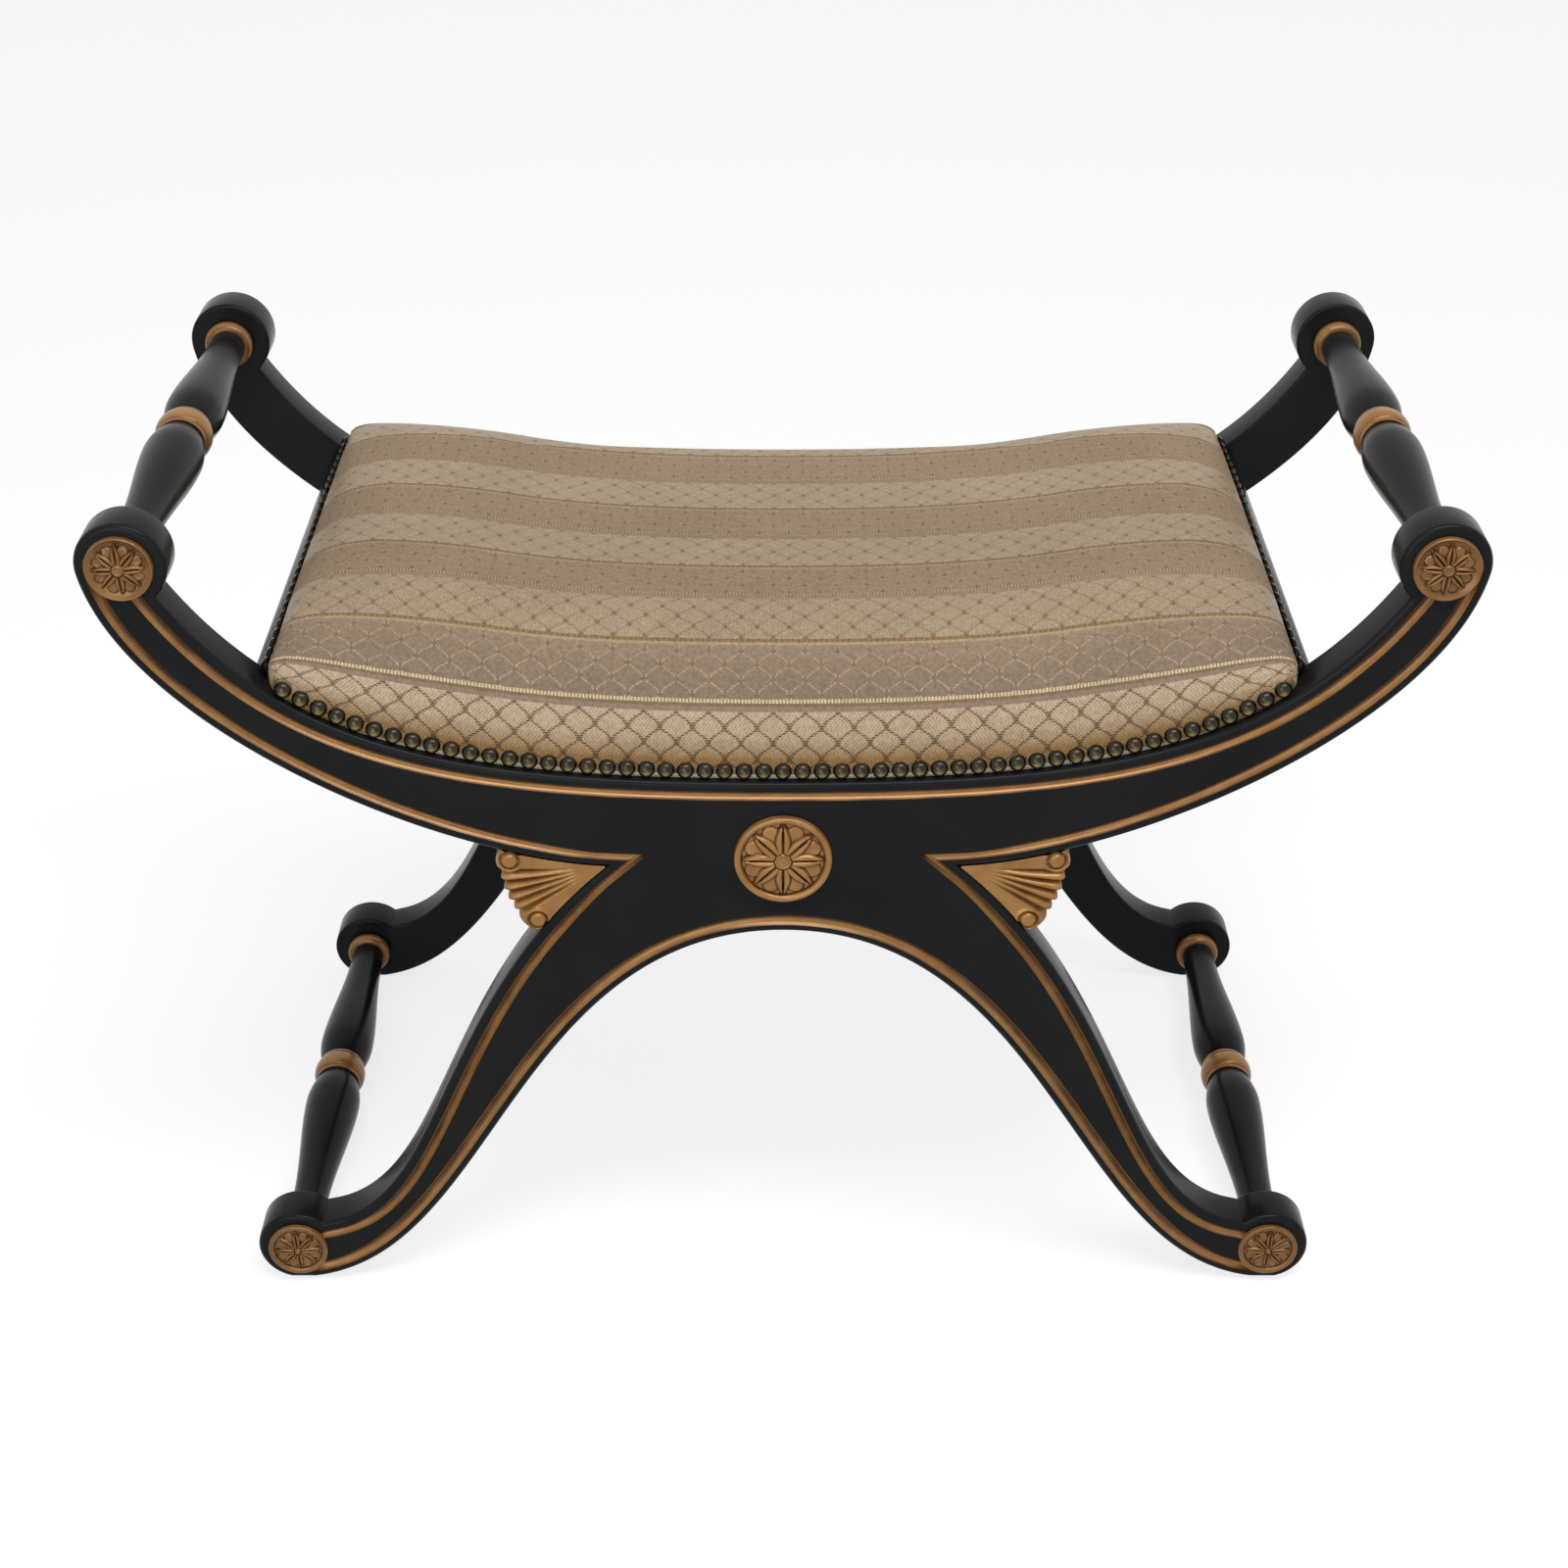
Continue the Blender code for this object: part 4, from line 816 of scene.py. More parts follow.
def buildRail(name, x, z, node):
    half = railProfile()
    rings = [(-s, r, k, g) for s, r, k, g in reversed(half)] + half[1:]
    count = railForm["turns"]
    turns = np.linspace(0, fullTurn, count, endpoint=False)
    points = [(x + r * math.cos(t), s, z + r * math.sin(t)) for s, r, _, _ in rings for t in turns]
    rows = gridRows(len(rings), count)
    faces = rowFaces(rows) + [rows[0], rows[-1]]
    slots = [min(a[2], b[2]) for a, b in zip(rings, rings[1:]) for _ in range(count)] + [1, 1]
    piece = newPiece(name, points, faces, [lacquer, gilt], slots)
    brown = np.repeat([ring[3] for ring in rings], count)
    seatCarved(piece, brown, railForm["sharp"], "black_lacquer", node)


for mirror, hand in hands:
    for part, (x, z) in discAt.items():
        node = hand + "_" + part + "_rail"
        buildRail("turned_" + node, mirror * x, z, node)
print("rails turned")


# rails at the seat's ends, square to the bow, with eased edges
sideForm = {
    "seatHalf": 0.331, "width": 0.022, "depth": 0.013, "ridgeEnd": 0.323,
    "halfLength": frameForm["innerFace"] - pieceGap,
    "edgeRound": 0.0065, "edgeSteps": 8, "slopeStep": 0.002, "ease": 0.0016, "easeSteps": 3, "sharp": 40,
}


def buildSideRail(name, mirror, node):
    form = sideForm
    edge, inner, ridge = form["seatHalf"], form["seatHalf"] - form["width"], form["ridgeEnd"]
    step, rise = form["slopeStep"], frameForm["ridgeHeight"]
    slope = float(lip(edge + step) - lip(edge - step)) / (2 * step)
    length = math.hypot(1, slope)
    # outer edge rounded over
    inward, downward = np.array([-1, -slope]) / length, np.array([slope, -1]) / length
    corner = np.array([edge, float(lip(edge))])
    centre = corner + form["edgeRound"] * (inward + downward)
    corners = [centre - form["edgeRound"] * (downward * math.cos(turn) + inward * math.sin(turn))
               for turn in np.linspace(math.pi / 2, 0, form["edgeSteps"])]
    corners += [(ridge, lip(ridge)), (ridge, lip(ridge) + rise), (inner, lip(inner) + rise),
                (inner, lip(inner) - form["depth"] * length), corner + form["depth"] * downward]
    points = [(mirror * x, y, z) for y in (-form["halfLength"], form["halfLength"]) for x, z in corners]
    ends = gridRows(2, len(corners))
    piece = newPiece(name, points, rowFaces(ends) + ends, [lacquer], smooth=False)
    turnOutward(piece)
    ease = piece.modifiers.new("ease", "BEVEL")
    ease.width, ease.segments, ease.limit_method = form["ease"], form["easeSteps"], "ANGLE"
    bakeModifiers(piece)
    piece.data.shade_smooth()
    piece.data.set_sharp_from_angle(angle=math.radians(form["sharp"]))
    seatPiece(piece, "black_lacquer", node)


for mirror, hand in hands:
    buildSideRail("eased_" + hand + "_side_rail", mirror, hand + "_side_rail")
print("side rails made")


# woven cover, in millimetres across and along one repeat of the stripe; its threads are drawn coarser than
# real ones, which are too fine to show; a range runs from and to a place, then from and to a value
weaveForm = {
    "shader": {"Specular IOR Level": 0.22}, "satinGloss": (0.80, 0.40),
    "repeat": 92.25, "start": 3.0, "pitch": 20.6, "rowPair": 20.5, "rowStart": 1.75, "sideStep": 6.3,
    "bulge": 0.040, "wobble": 0.07, "wander": {"Scale": mmInMetre / 8, "Detail": 2.0},
    "dye": {"Scale": mmInMetre / 60, "Detail": 5.0}, "slub": {"Scale": mmInMetre / 2.4, "Detail": 3.0},
    "lineHalf": 0.032, "satinLine": 0.026, "lineEdge": 1.5, "lineCore": 0.45,
    "lineGaps": (-0.6, 0.3, 0.2, 1.0), "lineFade": (85.0, 160.0, 1.0, 0.8),
    "dotHalf": 0.080, "dotEdges": (1.3, 0.7), "dotRoom": (0.0, 0.45, 0.0, 0.62), "dot": "#655039",
    "hatchPitch": 2.4, "zigzag": 6.0, "ribPitch": 2.1, "tickPitch": 2.2, "dashPitch": 3.6, "stitchPitch": 1.6,
    "plainDepth": 0.7, "dashDepth": 0.35, "trimDepth": 2.2, "cordTo": 70.0, "dullCord": "#a08b70",
    # the top's darker taupe is painted shade for the satin sheen that only the front roll catches
    "wear": (62.0, 102.0, 0.0, 0.68), "ropeTopShade": 0.45, "worn": "#9b866e",
    "threadLight": 0.20, "leastLight": 0.42, "dyeLight": 0.28, "slubLight": 0.88,
    # the browner tint above the nails is painted shade on the skirt as it turns down
    "pale": (220.0, 380.0, 0.0, 0.13), "skirtShadeEdge": (29.0, 14.0), "soil": "#ccb48c",
    "hemEdge": 3.2, "hem": "#cfc6b4",
    "lineSink": -1.2, "relief": {"Strength": 0.4, "Distance": 0.0003},
    # each band's end, ground, lattice colour, lattice strength, and what it is
    "bands": [
        (41.5, "#b39f83", "#554227", 0.95, "satin"), (45.0, "#8d7967", "#8d7967", 0.0, "plain"),
        (47.2, "#816a50", "#816a50", 0.0, "plain"), (49.7, "#bfab8a", "#957d5c", 0.0, "cord"),
        (87.0, "#867462", "#c6b094", 0.62, "plain"), (89.3, "#b39c7c", "#b39c7c", 0.0, "plain"),
        (92.25, "#7d6340", "#7d6340", 0.0, "rope"),
    ],
}
# short words for the nodes that the weave is worked out with; any other word is a Math operation
weaveNodes = {
    "range": ("ShaderNodeMapRange", None),
    "ease": ("ShaderNodeMapRange", {"interpolation_type": "SMOOTHSTEP"}),
    "mixValue": ("ShaderNodeMix", None),
    "mix": ("ShaderNodeMix", {"data_type": "RGBA"}),
    "shade": ("ShaderNodeMix", {"data_type": "RGBA", "blend_type": "MULTIPLY"}),
}


# figured cloth: satin lattice stripes that shine on the roll, matt taupe between them, and on the top
# colours drawn together towards a darker taupe, painted shade for the satin sheen the top does not catch
def makeCoverCloth():
    form = weaveForm
    material, tree, shader = newFinish("jacquardStripe", form["shader"])
    uv = addNode(tree, "ShaderNodeUVMap", {"uv_map": "cloth"})
    split = addNode(tree, "ShaderNodeSeparateXYZ", None, (uv,)).outputs
    place = addNode(tree, "ShaderNodeTexCoord").outputs["Object"]
    values = {"u": split[0], "v": split[1]}
    for name, vector in (("wander", uv), ("dye", place), ("slub", place)):
        values[name] = addNode(tree, "ShaderNodeTexNoise", None, {"Vector": vector, **form[name]})

    # each step is a word and its feeds: earlier steps, colours or numbers
    def addSteps(steps):
        for name, (word, *feeds) in steps.items():
            kind, settings = weaveNodes.get(word, ("ShaderNodeMath", {"operation": word}))
            for k, feed in enumerate(feeds):
                if isinstance(feed, str):
                    feeds[k] = hexColour(feed) if feed[0] == "#" else values[feed]
            if kind == "ShaderNodeMix":
                feeds = dict(zip(("Factor", "A", "B"), feeds))
            values[name] = addNode(tree, kind, settings, feeds)

    addSteps({
        "along": ("MULTIPLY", "u", mmInMetre),
        "across": ("MULTIPLY", "v", mmInMetre),
        "fromStart": ("SUBTRACT", "across", form["start"]),
        "inRepeat": ("FLOORED_MODULO", "fromStart", form["repeat"]),
        "share": ("DIVIDE", "inRepeat", form["repeat"]),
        # two families of slanting lines, bent into a trellis
        "drift": ("MULTIPLY", "wander", form["wobble"]),
        "shifted": ("ADD", "along", form["sideStep"]),
        "step": ("DIVIDE", "shifted", form["pitch"]),
        "rise": ("SUBTRACT", "inRepeat", form["rowStart"]),
        "row": ("DIVIDE", "rise", form["rowPair"]),
        "rowTurn": ("MULTIPLY", "row", 2 * fullTurn),
        "rowWave": ("SINE", "rowTurn"),
        "bulge": ("MULTIPLY", "rowWave", form["bulge"]),
        "bentRow": ("SUBTRACT", "row", "bulge"),
        "wanderRow": ("ADD", "bentRow", "drift"),
        "upSlant": ("ADD", "step", "wanderRow"),
        "downSlant": ("SUBTRACT", "step", "wanderRow"),
        "nearUp": ("PINGPONG", "upSlant", 0.5),
        "nearDown": ("PINGPONG", "downSlant", 0.5),
        "nearLine": ("MINIMUM", "nearUp", "nearDown"),
        "nearDot": ("MAXIMUM", "nearUp", "nearDown"),
        # threads, each a sine of its own pitch
        "zig": ("PINGPONG", "across", form["zigzag"] / 2),
        "slanted": ("ADD", "along", "zig"),
    })
    for name, line in (("hatch", "slanted"), ("rib", "along"), ("tick", "along"), ("dash", "along"),
                       ("stitch", "across")):
        addSteps({name + "Turn": ("MULTIPLY", line, fullTurn / form[name + "Pitch"]),
                  name: ("SINE", name + "Turn")})

    # three ramps over one repeat, each with a second measure in alpha
    stops, low = {"ground": [], "lattice": [], "cord": []}, 0.0
    for end, ground, line, strength, sort in form["bands"]:
        at = low / form["repeat"]
        stops["ground"].append((at, ground, float(sort == "satin")))
        stops["lattice"].append((at, line, strength))
        stops["cord"].append((at, "#ffffff" if sort == "cord" else "#000000", float(sort == "rope")))
        low = end
    for (name, ramp), alpha in zip(stops.items(), ("satin", "strength", "rope")):
        node = addNode(tree, "ShaderNodeValToRGB", {"stops": ramp}, {"Fac": values["share"]})
        node.color_ramp.interpolation = "CONSTANT"
        values[name], values[alpha] = node.outputs["Color"], node.outputs["Alpha"]

    addSteps({
        # lattice lines, thicker in the satin, broken by the stitches and fainter to the back, dotted where
        # they cross
        "gaps": ("range", "stitch", *form["lineGaps"]),
        "lineOut": ("MULTIPLY_ADD", "satin", form["satinLine"] * form["lineEdge"],
                    form["lineHalf"] * form["lineEdge"]),
        "lineIn": ("MULTIPLY", "lineOut", form["lineCore"]),
        "line": ("range", "nearLine", "lineOut", "lineIn"),
        "brokenLine": ("MULTIPLY", "line", "gaps"),
        "bandLine": ("MULTIPLY", "brokenLine", "strength"),
        "fade": ("range", "across", *form["lineFade"]),
        "lineMask": ("MULTIPLY", "bandLine", "fade"),
        "crossing": ("range", "nearDot", *(form["dotHalf"] * edge for edge in form["dotEdges"])),
        "dotRoom": ("range", "strength", *form["dotRoom"]),
        "dotMask": ("MULTIPLY", "crossing", "dotRoom"),
        # close plain weave in the taupe, a clear hatch in the satin, ticks on the cord, dashes on the rope
        "close": ("MULTIPLY", "rib", "stitch"),
        "plain": ("MULTIPLY", "close", form["plainDepth"]),
        "cloth": ("mixValue", "satin", "plain", "hatch"),
        "cordTicks": ("MULTIPLY", "tick", "cord"),
        "ropeDashes": ("MULTIPLY", "dash", "rope"),
        "dashes": ("MULTIPLY", "ropeDashes", form["dashDepth"]),
        "trim": ("ADD", "cordTicks", "dashes"),
        "thread": ("MULTIPLY_ADD", "trim", form["trimDepth"], "cloth"),
        # on the top the colours draw together to a darker taupe, painted shade for the satin sheen that only
        # the front roll catches, and the cords past the roll are drawn duller
        "figured": ("mix", "lineMask", "ground", "lattice"),
        "sat": ("GREATER_THAN", "across", form["cordTo"]),
        "dull": ("MULTIPLY", "cord", "sat"),
        "dulled": ("mix", "dull", "figured", form["dullCord"]),
        "sitting": ("ease", "across", *form["wear"]),
        "ropeLess": ("range", "rope", 0.0, 1.0, 1.0, form["ropeTopShade"]),
        "wear": ("MULTIPLY", "sitting", "ropeLess"),
        "worn": ("mix", "wear", "dulled", form["worn"]),
        "dotted": ("mix", "dotMask", "worn", form["dot"]),
        # light and dark threads, dye drift, slubs, and paler to the back
        "threadLight": ("MULTIPLY_ADD", "thread", form["threadLight"], form["leastLight"]),
        "dyeLight": ("MULTIPLY_ADD", "dye", form["dyeLight"], "threadLight"),
        "slubLight": ("MULTIPLY_ADD", "slub", form["slubLight"], "dyeLight"),
        "pale": ("range", "across", *form["pale"]),
        "light": ("ADD", "slubLight", "pale"),
        "lit": ("shade", 1.0, "dotted", "light"),
        # browner just above the nails, painted shade where the skirt turns down towards them, and a pale cut
        # edge under them
        "soil": ("range", "across", *form["skirtShadeEdge"]),
        "soiled": ("shade", "soil", "lit", form["soil"]),
        "hem": ("LESS_THAN", "across", form["hemEdge"]),
        "colour": ("mix", "hem", "soiled", form["hem"]),
        "gloss": ("range", "satin", 0.0, 1.0, *form["satinGloss"]),
        "sunk": ("MULTIPLY_ADD", "lineMask", form["lineSink"], "thread"),
        "relief": ("ADD", "sunk", "slub"),
    })
    for name, goal in (("colour", "Base Color"), ("gloss", "Roughness")):
        tree.links.new(liveSocket(values[name].outputs), shader[goal])
    addNode(tree, "ShaderNodeBump", None, {"Height": values["relief"], **form["relief"]}, shader["Normal"])
    return material


coverCloth = makeCoverCloth()

# the cushion: a crowned cover nailed down round its edge
cushionForm = {
    "halfX": 0.3248, "halfY": 0.1993, "skirt": 0.020, "backSkirt": 0.016, "endSkirt": 0.009, "height": 0.0800,
    "frontRoll": 0.100, "backRoll": 0.075, "endRoll": 0.135, "endPower": 1.08, "corner": 0.012,
    "columns": 168, "lines": 104, "even": 0.45, "eased": 0.55, "skirtRows": 8, "hem": 0.0004,
    "nailPitch": 0.0125, "pucker": 0.0006, "pinnedFrom": 0.55, "turnIn": 0.0008, "ridgeTop": 0.0127,
    "bottom": 0.0156, "bottomShare": 0.985, "underUv": (0.0, 0.5),
    "frames": 12, "pressure": 2.5, "quality": 6, "mostMove": 0.004, "fill": 0.85,
}


def rollShare(place, half, lowRoll, highRoll):
    fromLow = np.clip((place + half) / lowRoll, 0, 1)
    fromHigh = np.clip((half - place) / highRoll, 0, 1)
    return np.sqrt(1 - (1 - fromLow) ** 2) * np.sqrt(1 - (1 - fromHigh) ** 2)


# places across the cushion, closer together at the rolls
def easedPlaces(half, count):
    turn = np.linspace(-1, 1, count + 1)
    return half * (cushionForm["even"] * turn + cushionForm["eased"] * np.sin(turn * math.pi / 2))


def buildCushion():
    form = cushionForm
    hx, hy = form["halfX"], form["halfY"]
    xs, ys = easedPlaces(hx, form["columns"]), easedPlaces(hy, form["lines"])
    wide, deep = len(xs), len(ys)
    shareX = rollShare(xs, hx, form["endRoll"], form["endRoll"]) ** form["endPower"]
    shareY = rollShare(ys, hy, form["frontRoll"], form["backRoll"])
    gx, gy = np.meshgrid(xs, ys, indexing="ij")
    # round the corners in plan
    dx, dy = np.abs(gx) - (hx - form["corner"]), np.abs(gy) - (hy - form["corner"])
    both = (dx > 0) & (dy > 0)
    pull = np.where(both, np.maximum(dx, dy) / np.maximum(np.hypot(dx, dy), 1e-9), 1.0)
    px = np.where(both, np.sign(gx) * (hx - form["corner"] + dx * pull), gx)
    py = np.where(both, np.sign(gy) * (hy - form["corner"] + dy * pull), gy)
    # the cover stands up at the front, less at the back, and least at the ends
    rise = form["height"] - form["endSkirt"]
    stand = form["skirt"] + (form["backSkirt"] - form["skirt"]) * (ys + hy) / (2 * hy)
    stand = (stand - form["endSkirt"]) / rise
    profile = stand + (1 - stand) * shareY
    pz = lip(px) + form["endSkirt"] + rise * shareX[:, None] * profile[None, :]
    points = list(np.stack([px, py, pz], -1).reshape(-1, 3))
    # cloth measures along the middle lines
    along = lineRun(np.stack([xs, lip(xs) + rise * shareX], 1))
    along -= along[-1] / 2
    across = lineRun(np.stack([ys, rise * profile], 1)) + form["skirt"]
    uvs = [(u, v) for u in along for v in across]
    grid = gridRows(wide, deep)
    faces = rowFaces(grid, closed=False)
    corners = [[uvs[k] for k in face] for face in faces]
    pinned = [0.0] * len(points)
    # a skirt down to the nails, puckered between them
    rim = gridRim(wide, deep)
    count = len(rim)
    above = [grid[i][j] for i, j in rim]
    rimPoints = np.array([points[k] for k in above])
    heading = np.roll(rimPoints, -1, 0)[:, :2] - np.roll(rimPoints, 1, 0)[:, :2]
    heading /= np.linalg.norm(heading, axis=1)[:, None]
    outward = np.stack([heading[:, 1], -heading[:, 0]], 1)
    run = lineRun(np.vstack([rimPoints, rimPoints[:1]]))[:-1]
    ripple = np.cos(fullTurn * run / form["nailPitch"])
    drop = rimPoints[:, 2] - lip(rimPoints[:, 0]) - form["hem"]

    def skirtUv(k, row, onX):
        (i, j), fall = rim[k], drop[k] * row / form["skirtRows"]
        if onX:
            return along[i], across[j] - fall if j == 0 else across[j] + fall
        return along[i] - fall if i == 0 else along[i] + fall, across[j]

    for row in range(1, form["skirtRows"] + 1):
        share = row / form["skirtRows"]
        swell = form["pucker"] * ripple * math.sin(math.pi * share) * share
        below = addPoints(points, [(x + way[0] * puff, y + way[1] * puff, z - fall * share)
                                   for (x, y, z), way, puff, fall in zip(rimPoints, outward, swell, drop)])
        pinned += [1.0 if share > form["pinnedFrom"] else 0.0] * count
        for k in range(count):
            n = (k + 1) % count
            onX = rim[k][1] == rim[n][1]
            faces.append((above[k], below[k], below[n], above[n]))
            corners.append([skirtUv(*spot, onX) for spot in ((k, row - 1), (k, row), (n, row), (n, row - 1))])
        above = below
    # turned in behind the nails, up over the tacking ridge, then flat on the platform, out of sight
    shown = len(faces)
    tucks = rimPoints[:, :2] - outward * form["turnIn"]
    flat = rimPoints[:, :2] * form["bottomShare"]
    for spots, lift in ((tucks, form["hem"]), (tucks, form["ridgeTop"]), (flat, form["bottom"])):
        below = addPoints(points, [(x, y, float(lip(x)) + lift) for x, y in spots])
        pinned += [1.0] * count
        faces += rowFaces([above, below])
        above = below
    front, back = above[:wide], above[wide + deep - 2:2 * wide + deep - 2][::-1]
    faces += [(front[i], front[i + 1], back[i + 1], back[i]) for i in range(1, wide - 2)]
    faces += [above[wide - 2:wide + deep], [front[1], back[1]] + above[2 * wide + deep - 3:] + [front[0]]]
    corners += [[form["underUv"]] * len(face) for face in faces[shown:]]
    piece = newPiece("seat_cushion", points, faces, [coverCloth])
    layer = piece.data.uv_layers.new(name="cloth")
    flatUvs = np.array([uv for spots in corners for uv in spots], dtype=np.float32).ravel()
    layer.data.foreach_set("uv", flatUvs)
    turnOutward(piece)
    return piece, pinned


# lets the cover swell over its filling, held where it is nailed
def puffCushion(piece, pinned):
    form = cushionForm
    group = piece.vertex_groups.new(name="nailed")
    group.add([i for i, held in enumerate(pinned) if held], 1.0, "REPLACE")
    cloth = piece.modifiers.new("puff", "CLOTH")
    cloth.settings.vertex_group_mass = "nailed"
    cloth.settings.use_pressure = True
    cloth.settings.uniform_pressure_force = form["pressure"]
    cloth.settings.effector_weights.gravity = 0
    cloth.settings.quality = form["quality"]
    cloth.point_cache.frame_start, cloth.point_cache.frame_end = 1, form["frames"]
    before = np.empty(len(piece.data.vertices) * 3, dtype=np.float32)
    piece.data.vertices.foreach_get("co", before)
    for step in range(1, form["frames"] + 1):
        scene.frame_set(step)
    puffed = piece.evaluated_get(bpy.context.evaluated_depsgraph_get()).data
    after = np.empty_like(before)
    puffed.vertices.foreach_get("co", after)
    move = (after - before).reshape(-1, 3)
    length = np.linalg.norm(move, axis=1)
    print("cover swells by", *(round(float(size) * mmInMetre, 2) for size in (length.mean(), length.max())),
          "mm, mean and most")
    move *= np.minimum(1, form["mostMove"] / np.maximum(length, 1e-9))[:, None]
    piece.modifiers.clear()
    piece.vertex_groups.clear()
    piece.data.vertices.foreach_set("co", before + move.ravel())
    piece.data.update()
    scene.frame_set(1)


cushion, pinnedPoints = buildCushion()
puffCushion(cushion, pinnedPoints)
seatPiece(cushion, "cover_fabric", "seat_cover", "seat_foam")
print("cushion made,", len(cushion.data.polygons), "faces")


# domed nails along the edges of the cover; the patch of painted olive reflection is in shares of a head's
# radius
nailForm = {
    "pitch": 0.0125, "radius": 0.0057, "dome": 0.0044, "tilt": 0.07, "seed": 7, "segments": 14, "rings": 8,
    "cutBelow": -0.05, "patchAt": (-0.36, 0.0, 0.0), "patch": (0.62, 0.12), "brown": (0.72, 0.9),
    "lift": 0.0061, "longReach": 0.3177, "longBack": 0.1999, "longPoints": 121,
    "endFront": -0.1840, "endRear": 0.1700, "endBack": 0.3252, "endLift": 0.0052, "endPoints": 31,
}


def makeNailTree():
    form = nailForm
    tree = bpy.data.node_groups.new("nailRow", "GeometryNodeTree")
    sockets = tree.interface
    for name, kind in (("Geometry", "Geometry"), ("Pitch", "Float"), ("Radius", "Float"), ("Dome", "Float"),
                       ("Tilt", "Float"), ("Seed", "Int"), ("Facing", "Vector"), ("Finish", "Material")):
        sockets.new_socket(name, in_out="INPUT", socket_type="NodeSocket" + kind)
    sockets.new_socket("Geometry", in_out="OUTPUT", socket_type="NodeSocketGeometry")
    given = addNode(tree, "NodeGroupInput").outputs
    curve = addNode(tree, "GeometryNodeMeshToCurve", None, (given["Geometry"],))
    spaced = addNode(tree, "GeometryNodeResampleCurve", {"mode": "LENGTH"},
                     {"Curve": curve, "Length": given["Pitch"]})
    # a head is the upper half of a ball
    ball = addNode(tree, "GeometryNodeMeshUVSphere", None,
                   {"Segments": form["segments"], "Rings": form["rings"], "Radius": 1.0})
    position = addNode(tree, "GeometryNodeInputPosition")
    split = addNode(tree, "ShaderNodeSeparateXYZ", None, (position,)).outputs
    under = addNode(tree, "FunctionNodeCompare", {"operation": "LESS_THAN"}, (split["Z"], form["cutBelow"]))
    dome = addNode(tree, "GeometryNodeDeleteGeometry", None, {"Geometry": ball, "Selection": under})
    # low side of each head, for the painted olive reflection
    flat = addNode(tree, "ShaderNodeCombineXYZ", None, (split["X"], split["Y"]))
    away = addNode(tree, "ShaderNodeVectorMath", {"operation": "DISTANCE"}, (flat, form["patchAt"]))
    low = addNode(tree, "ShaderNodeMapRange", {"interpolation_type": "SMOOTHSTEP"}, (away, *form["patch"]))
    marked = addNode(tree, "GeometryNodeStoreNamedAttribute", {"data_type": "FLOAT", "domain": "POINT"},
                     {"Geometry": dome, "Name": "lowSide", "Value": low})
    size = addNode(tree, "ShaderNodeCombineXYZ", None, (given["Radius"], given["Radius"], given["Dome"]))
    head = addNode(tree, "GeometryNodeTransform", None, {"Geometry": marked, "Scale": size})
    head = addNode(tree, "GeometryNodeSetShadeSmooth", None, (head,))
    # each one leans a little its own way
    aimed = addNode(tree, "FunctionNodeAxesToRotation", {"primary_axis": "Z", "secondary_axis": "X"},
                    (given["Facing"], (0.0, 0.0, 1.0)))
    most = addNode(tree, "ShaderNodeCombineXYZ", None, (given["Tilt"], given["Tilt"], 0.0))
    least = addNode(tree, "ShaderNodeVectorMath", {"operation": "SCALE"}, {0: most, "Scale": -1.0})
    lean = addNode(tree, "FunctionNodeRandomValue", {"data_type": "FLOAT_VECTOR"},
                   {"Min": least, "Max": most, "Seed": given["Seed"]})
    leanTurn = addNode(tree, "FunctionNodeEulerToRotation", None, (lean,))
    turned = addNode(tree, "FunctionNodeRotateRotation", {"rotation_space": "LOCAL"}, (aimed, leanTurn))
    nails = addNode(tree, "GeometryNodeInstanceOnPoints", None,
                    {"Points": spaced, "Instance": head, "Rotation": turned})
    # and a few are browner
    tone = addNode(tree, "FunctionNodeRandomValue", {"data_type": "FLOAT"}, {"Seed": given["Seed"]})
    brown = addNode(tree, "ShaderNodeMapRange", None, (tone, *form["brown"]))
    toned = addNode(tree, "GeometryNodeStoreNamedAttribute", {"data_type": "FLOAT", "domain": "INSTANCE"},
                    {"Geometry": nails, "Name": "nailTone", "Value": brown})
    real = addNode(tree, "GeometryNodeRealizeInstances", None, (toned,))
    finished = addNode(tree, "GeometryNodeSetMaterial", None, {"Geometry": real, "Material": given["Finish"]})
    addNode(tree, "NodeGroupOutput", None, (finished,))
    return tree


nailTree = makeNailTree()


def buildNails(name, path, facing, node):
    form = nailForm
    piece = newPiece(name, path, [], [], edges=[(i, i + 1) for i in range(len(path) - 1)])
    length = lineRun(np.array(path))[-1]
    inputs = {"Pitch": length / round(length / form["pitch"]), "Radius": form["radius"], "Dome": form["dome"],
              "Tilt": form["tilt"], "Seed": form["seed"], "Facing": facing, "Finish": bronze}
    modifier = piece.modifiers.new("nails", "NODES")
    modifier.node_group = nailTree
    for socket in nailTree.interface.items_tree:
        if socket.in_out == "INPUT" and socket.name in inputs:
            modifier[socket.identifier] = inputs[socket.name]
    bakeModifiers(piece)
    seatPiece(piece, "nail_bronze", node)
    print(name, len(piece.data.polygons), "faces")


for side, face in facings:
    stations = np.linspace(-nailForm["longReach"], nailForm["longReach"], nailForm["longPoints"])
    slope = np.gradient(lip(stations), stations)
    length = np.hypot(1, slope)
    path = np.stack([stations - slope / length * nailForm["lift"],
                     np.full(len(stations), side * nailForm["longBack"]),
                     lip(stations) + nailForm["lift"] / length], 1)
    buildNails(face + "_nails", path, (0.0, side, 0.0), face + "_nail_strip")
for mirror, hand in hands:
    level = float(lip(nailForm["endBack"] + nailForm["dome"])) + nailForm["endLift"]
    path = [(mirror * nailForm["endBack"], y, level)
            for y in np.linspace(nailForm["endFront"], nailForm["endRear"], nailForm["endPoints"])]
    buildNails(hand + "_nails", path, (mirror, 0.0, 0.0), hand + "_nail_strip")
print("nails driven")


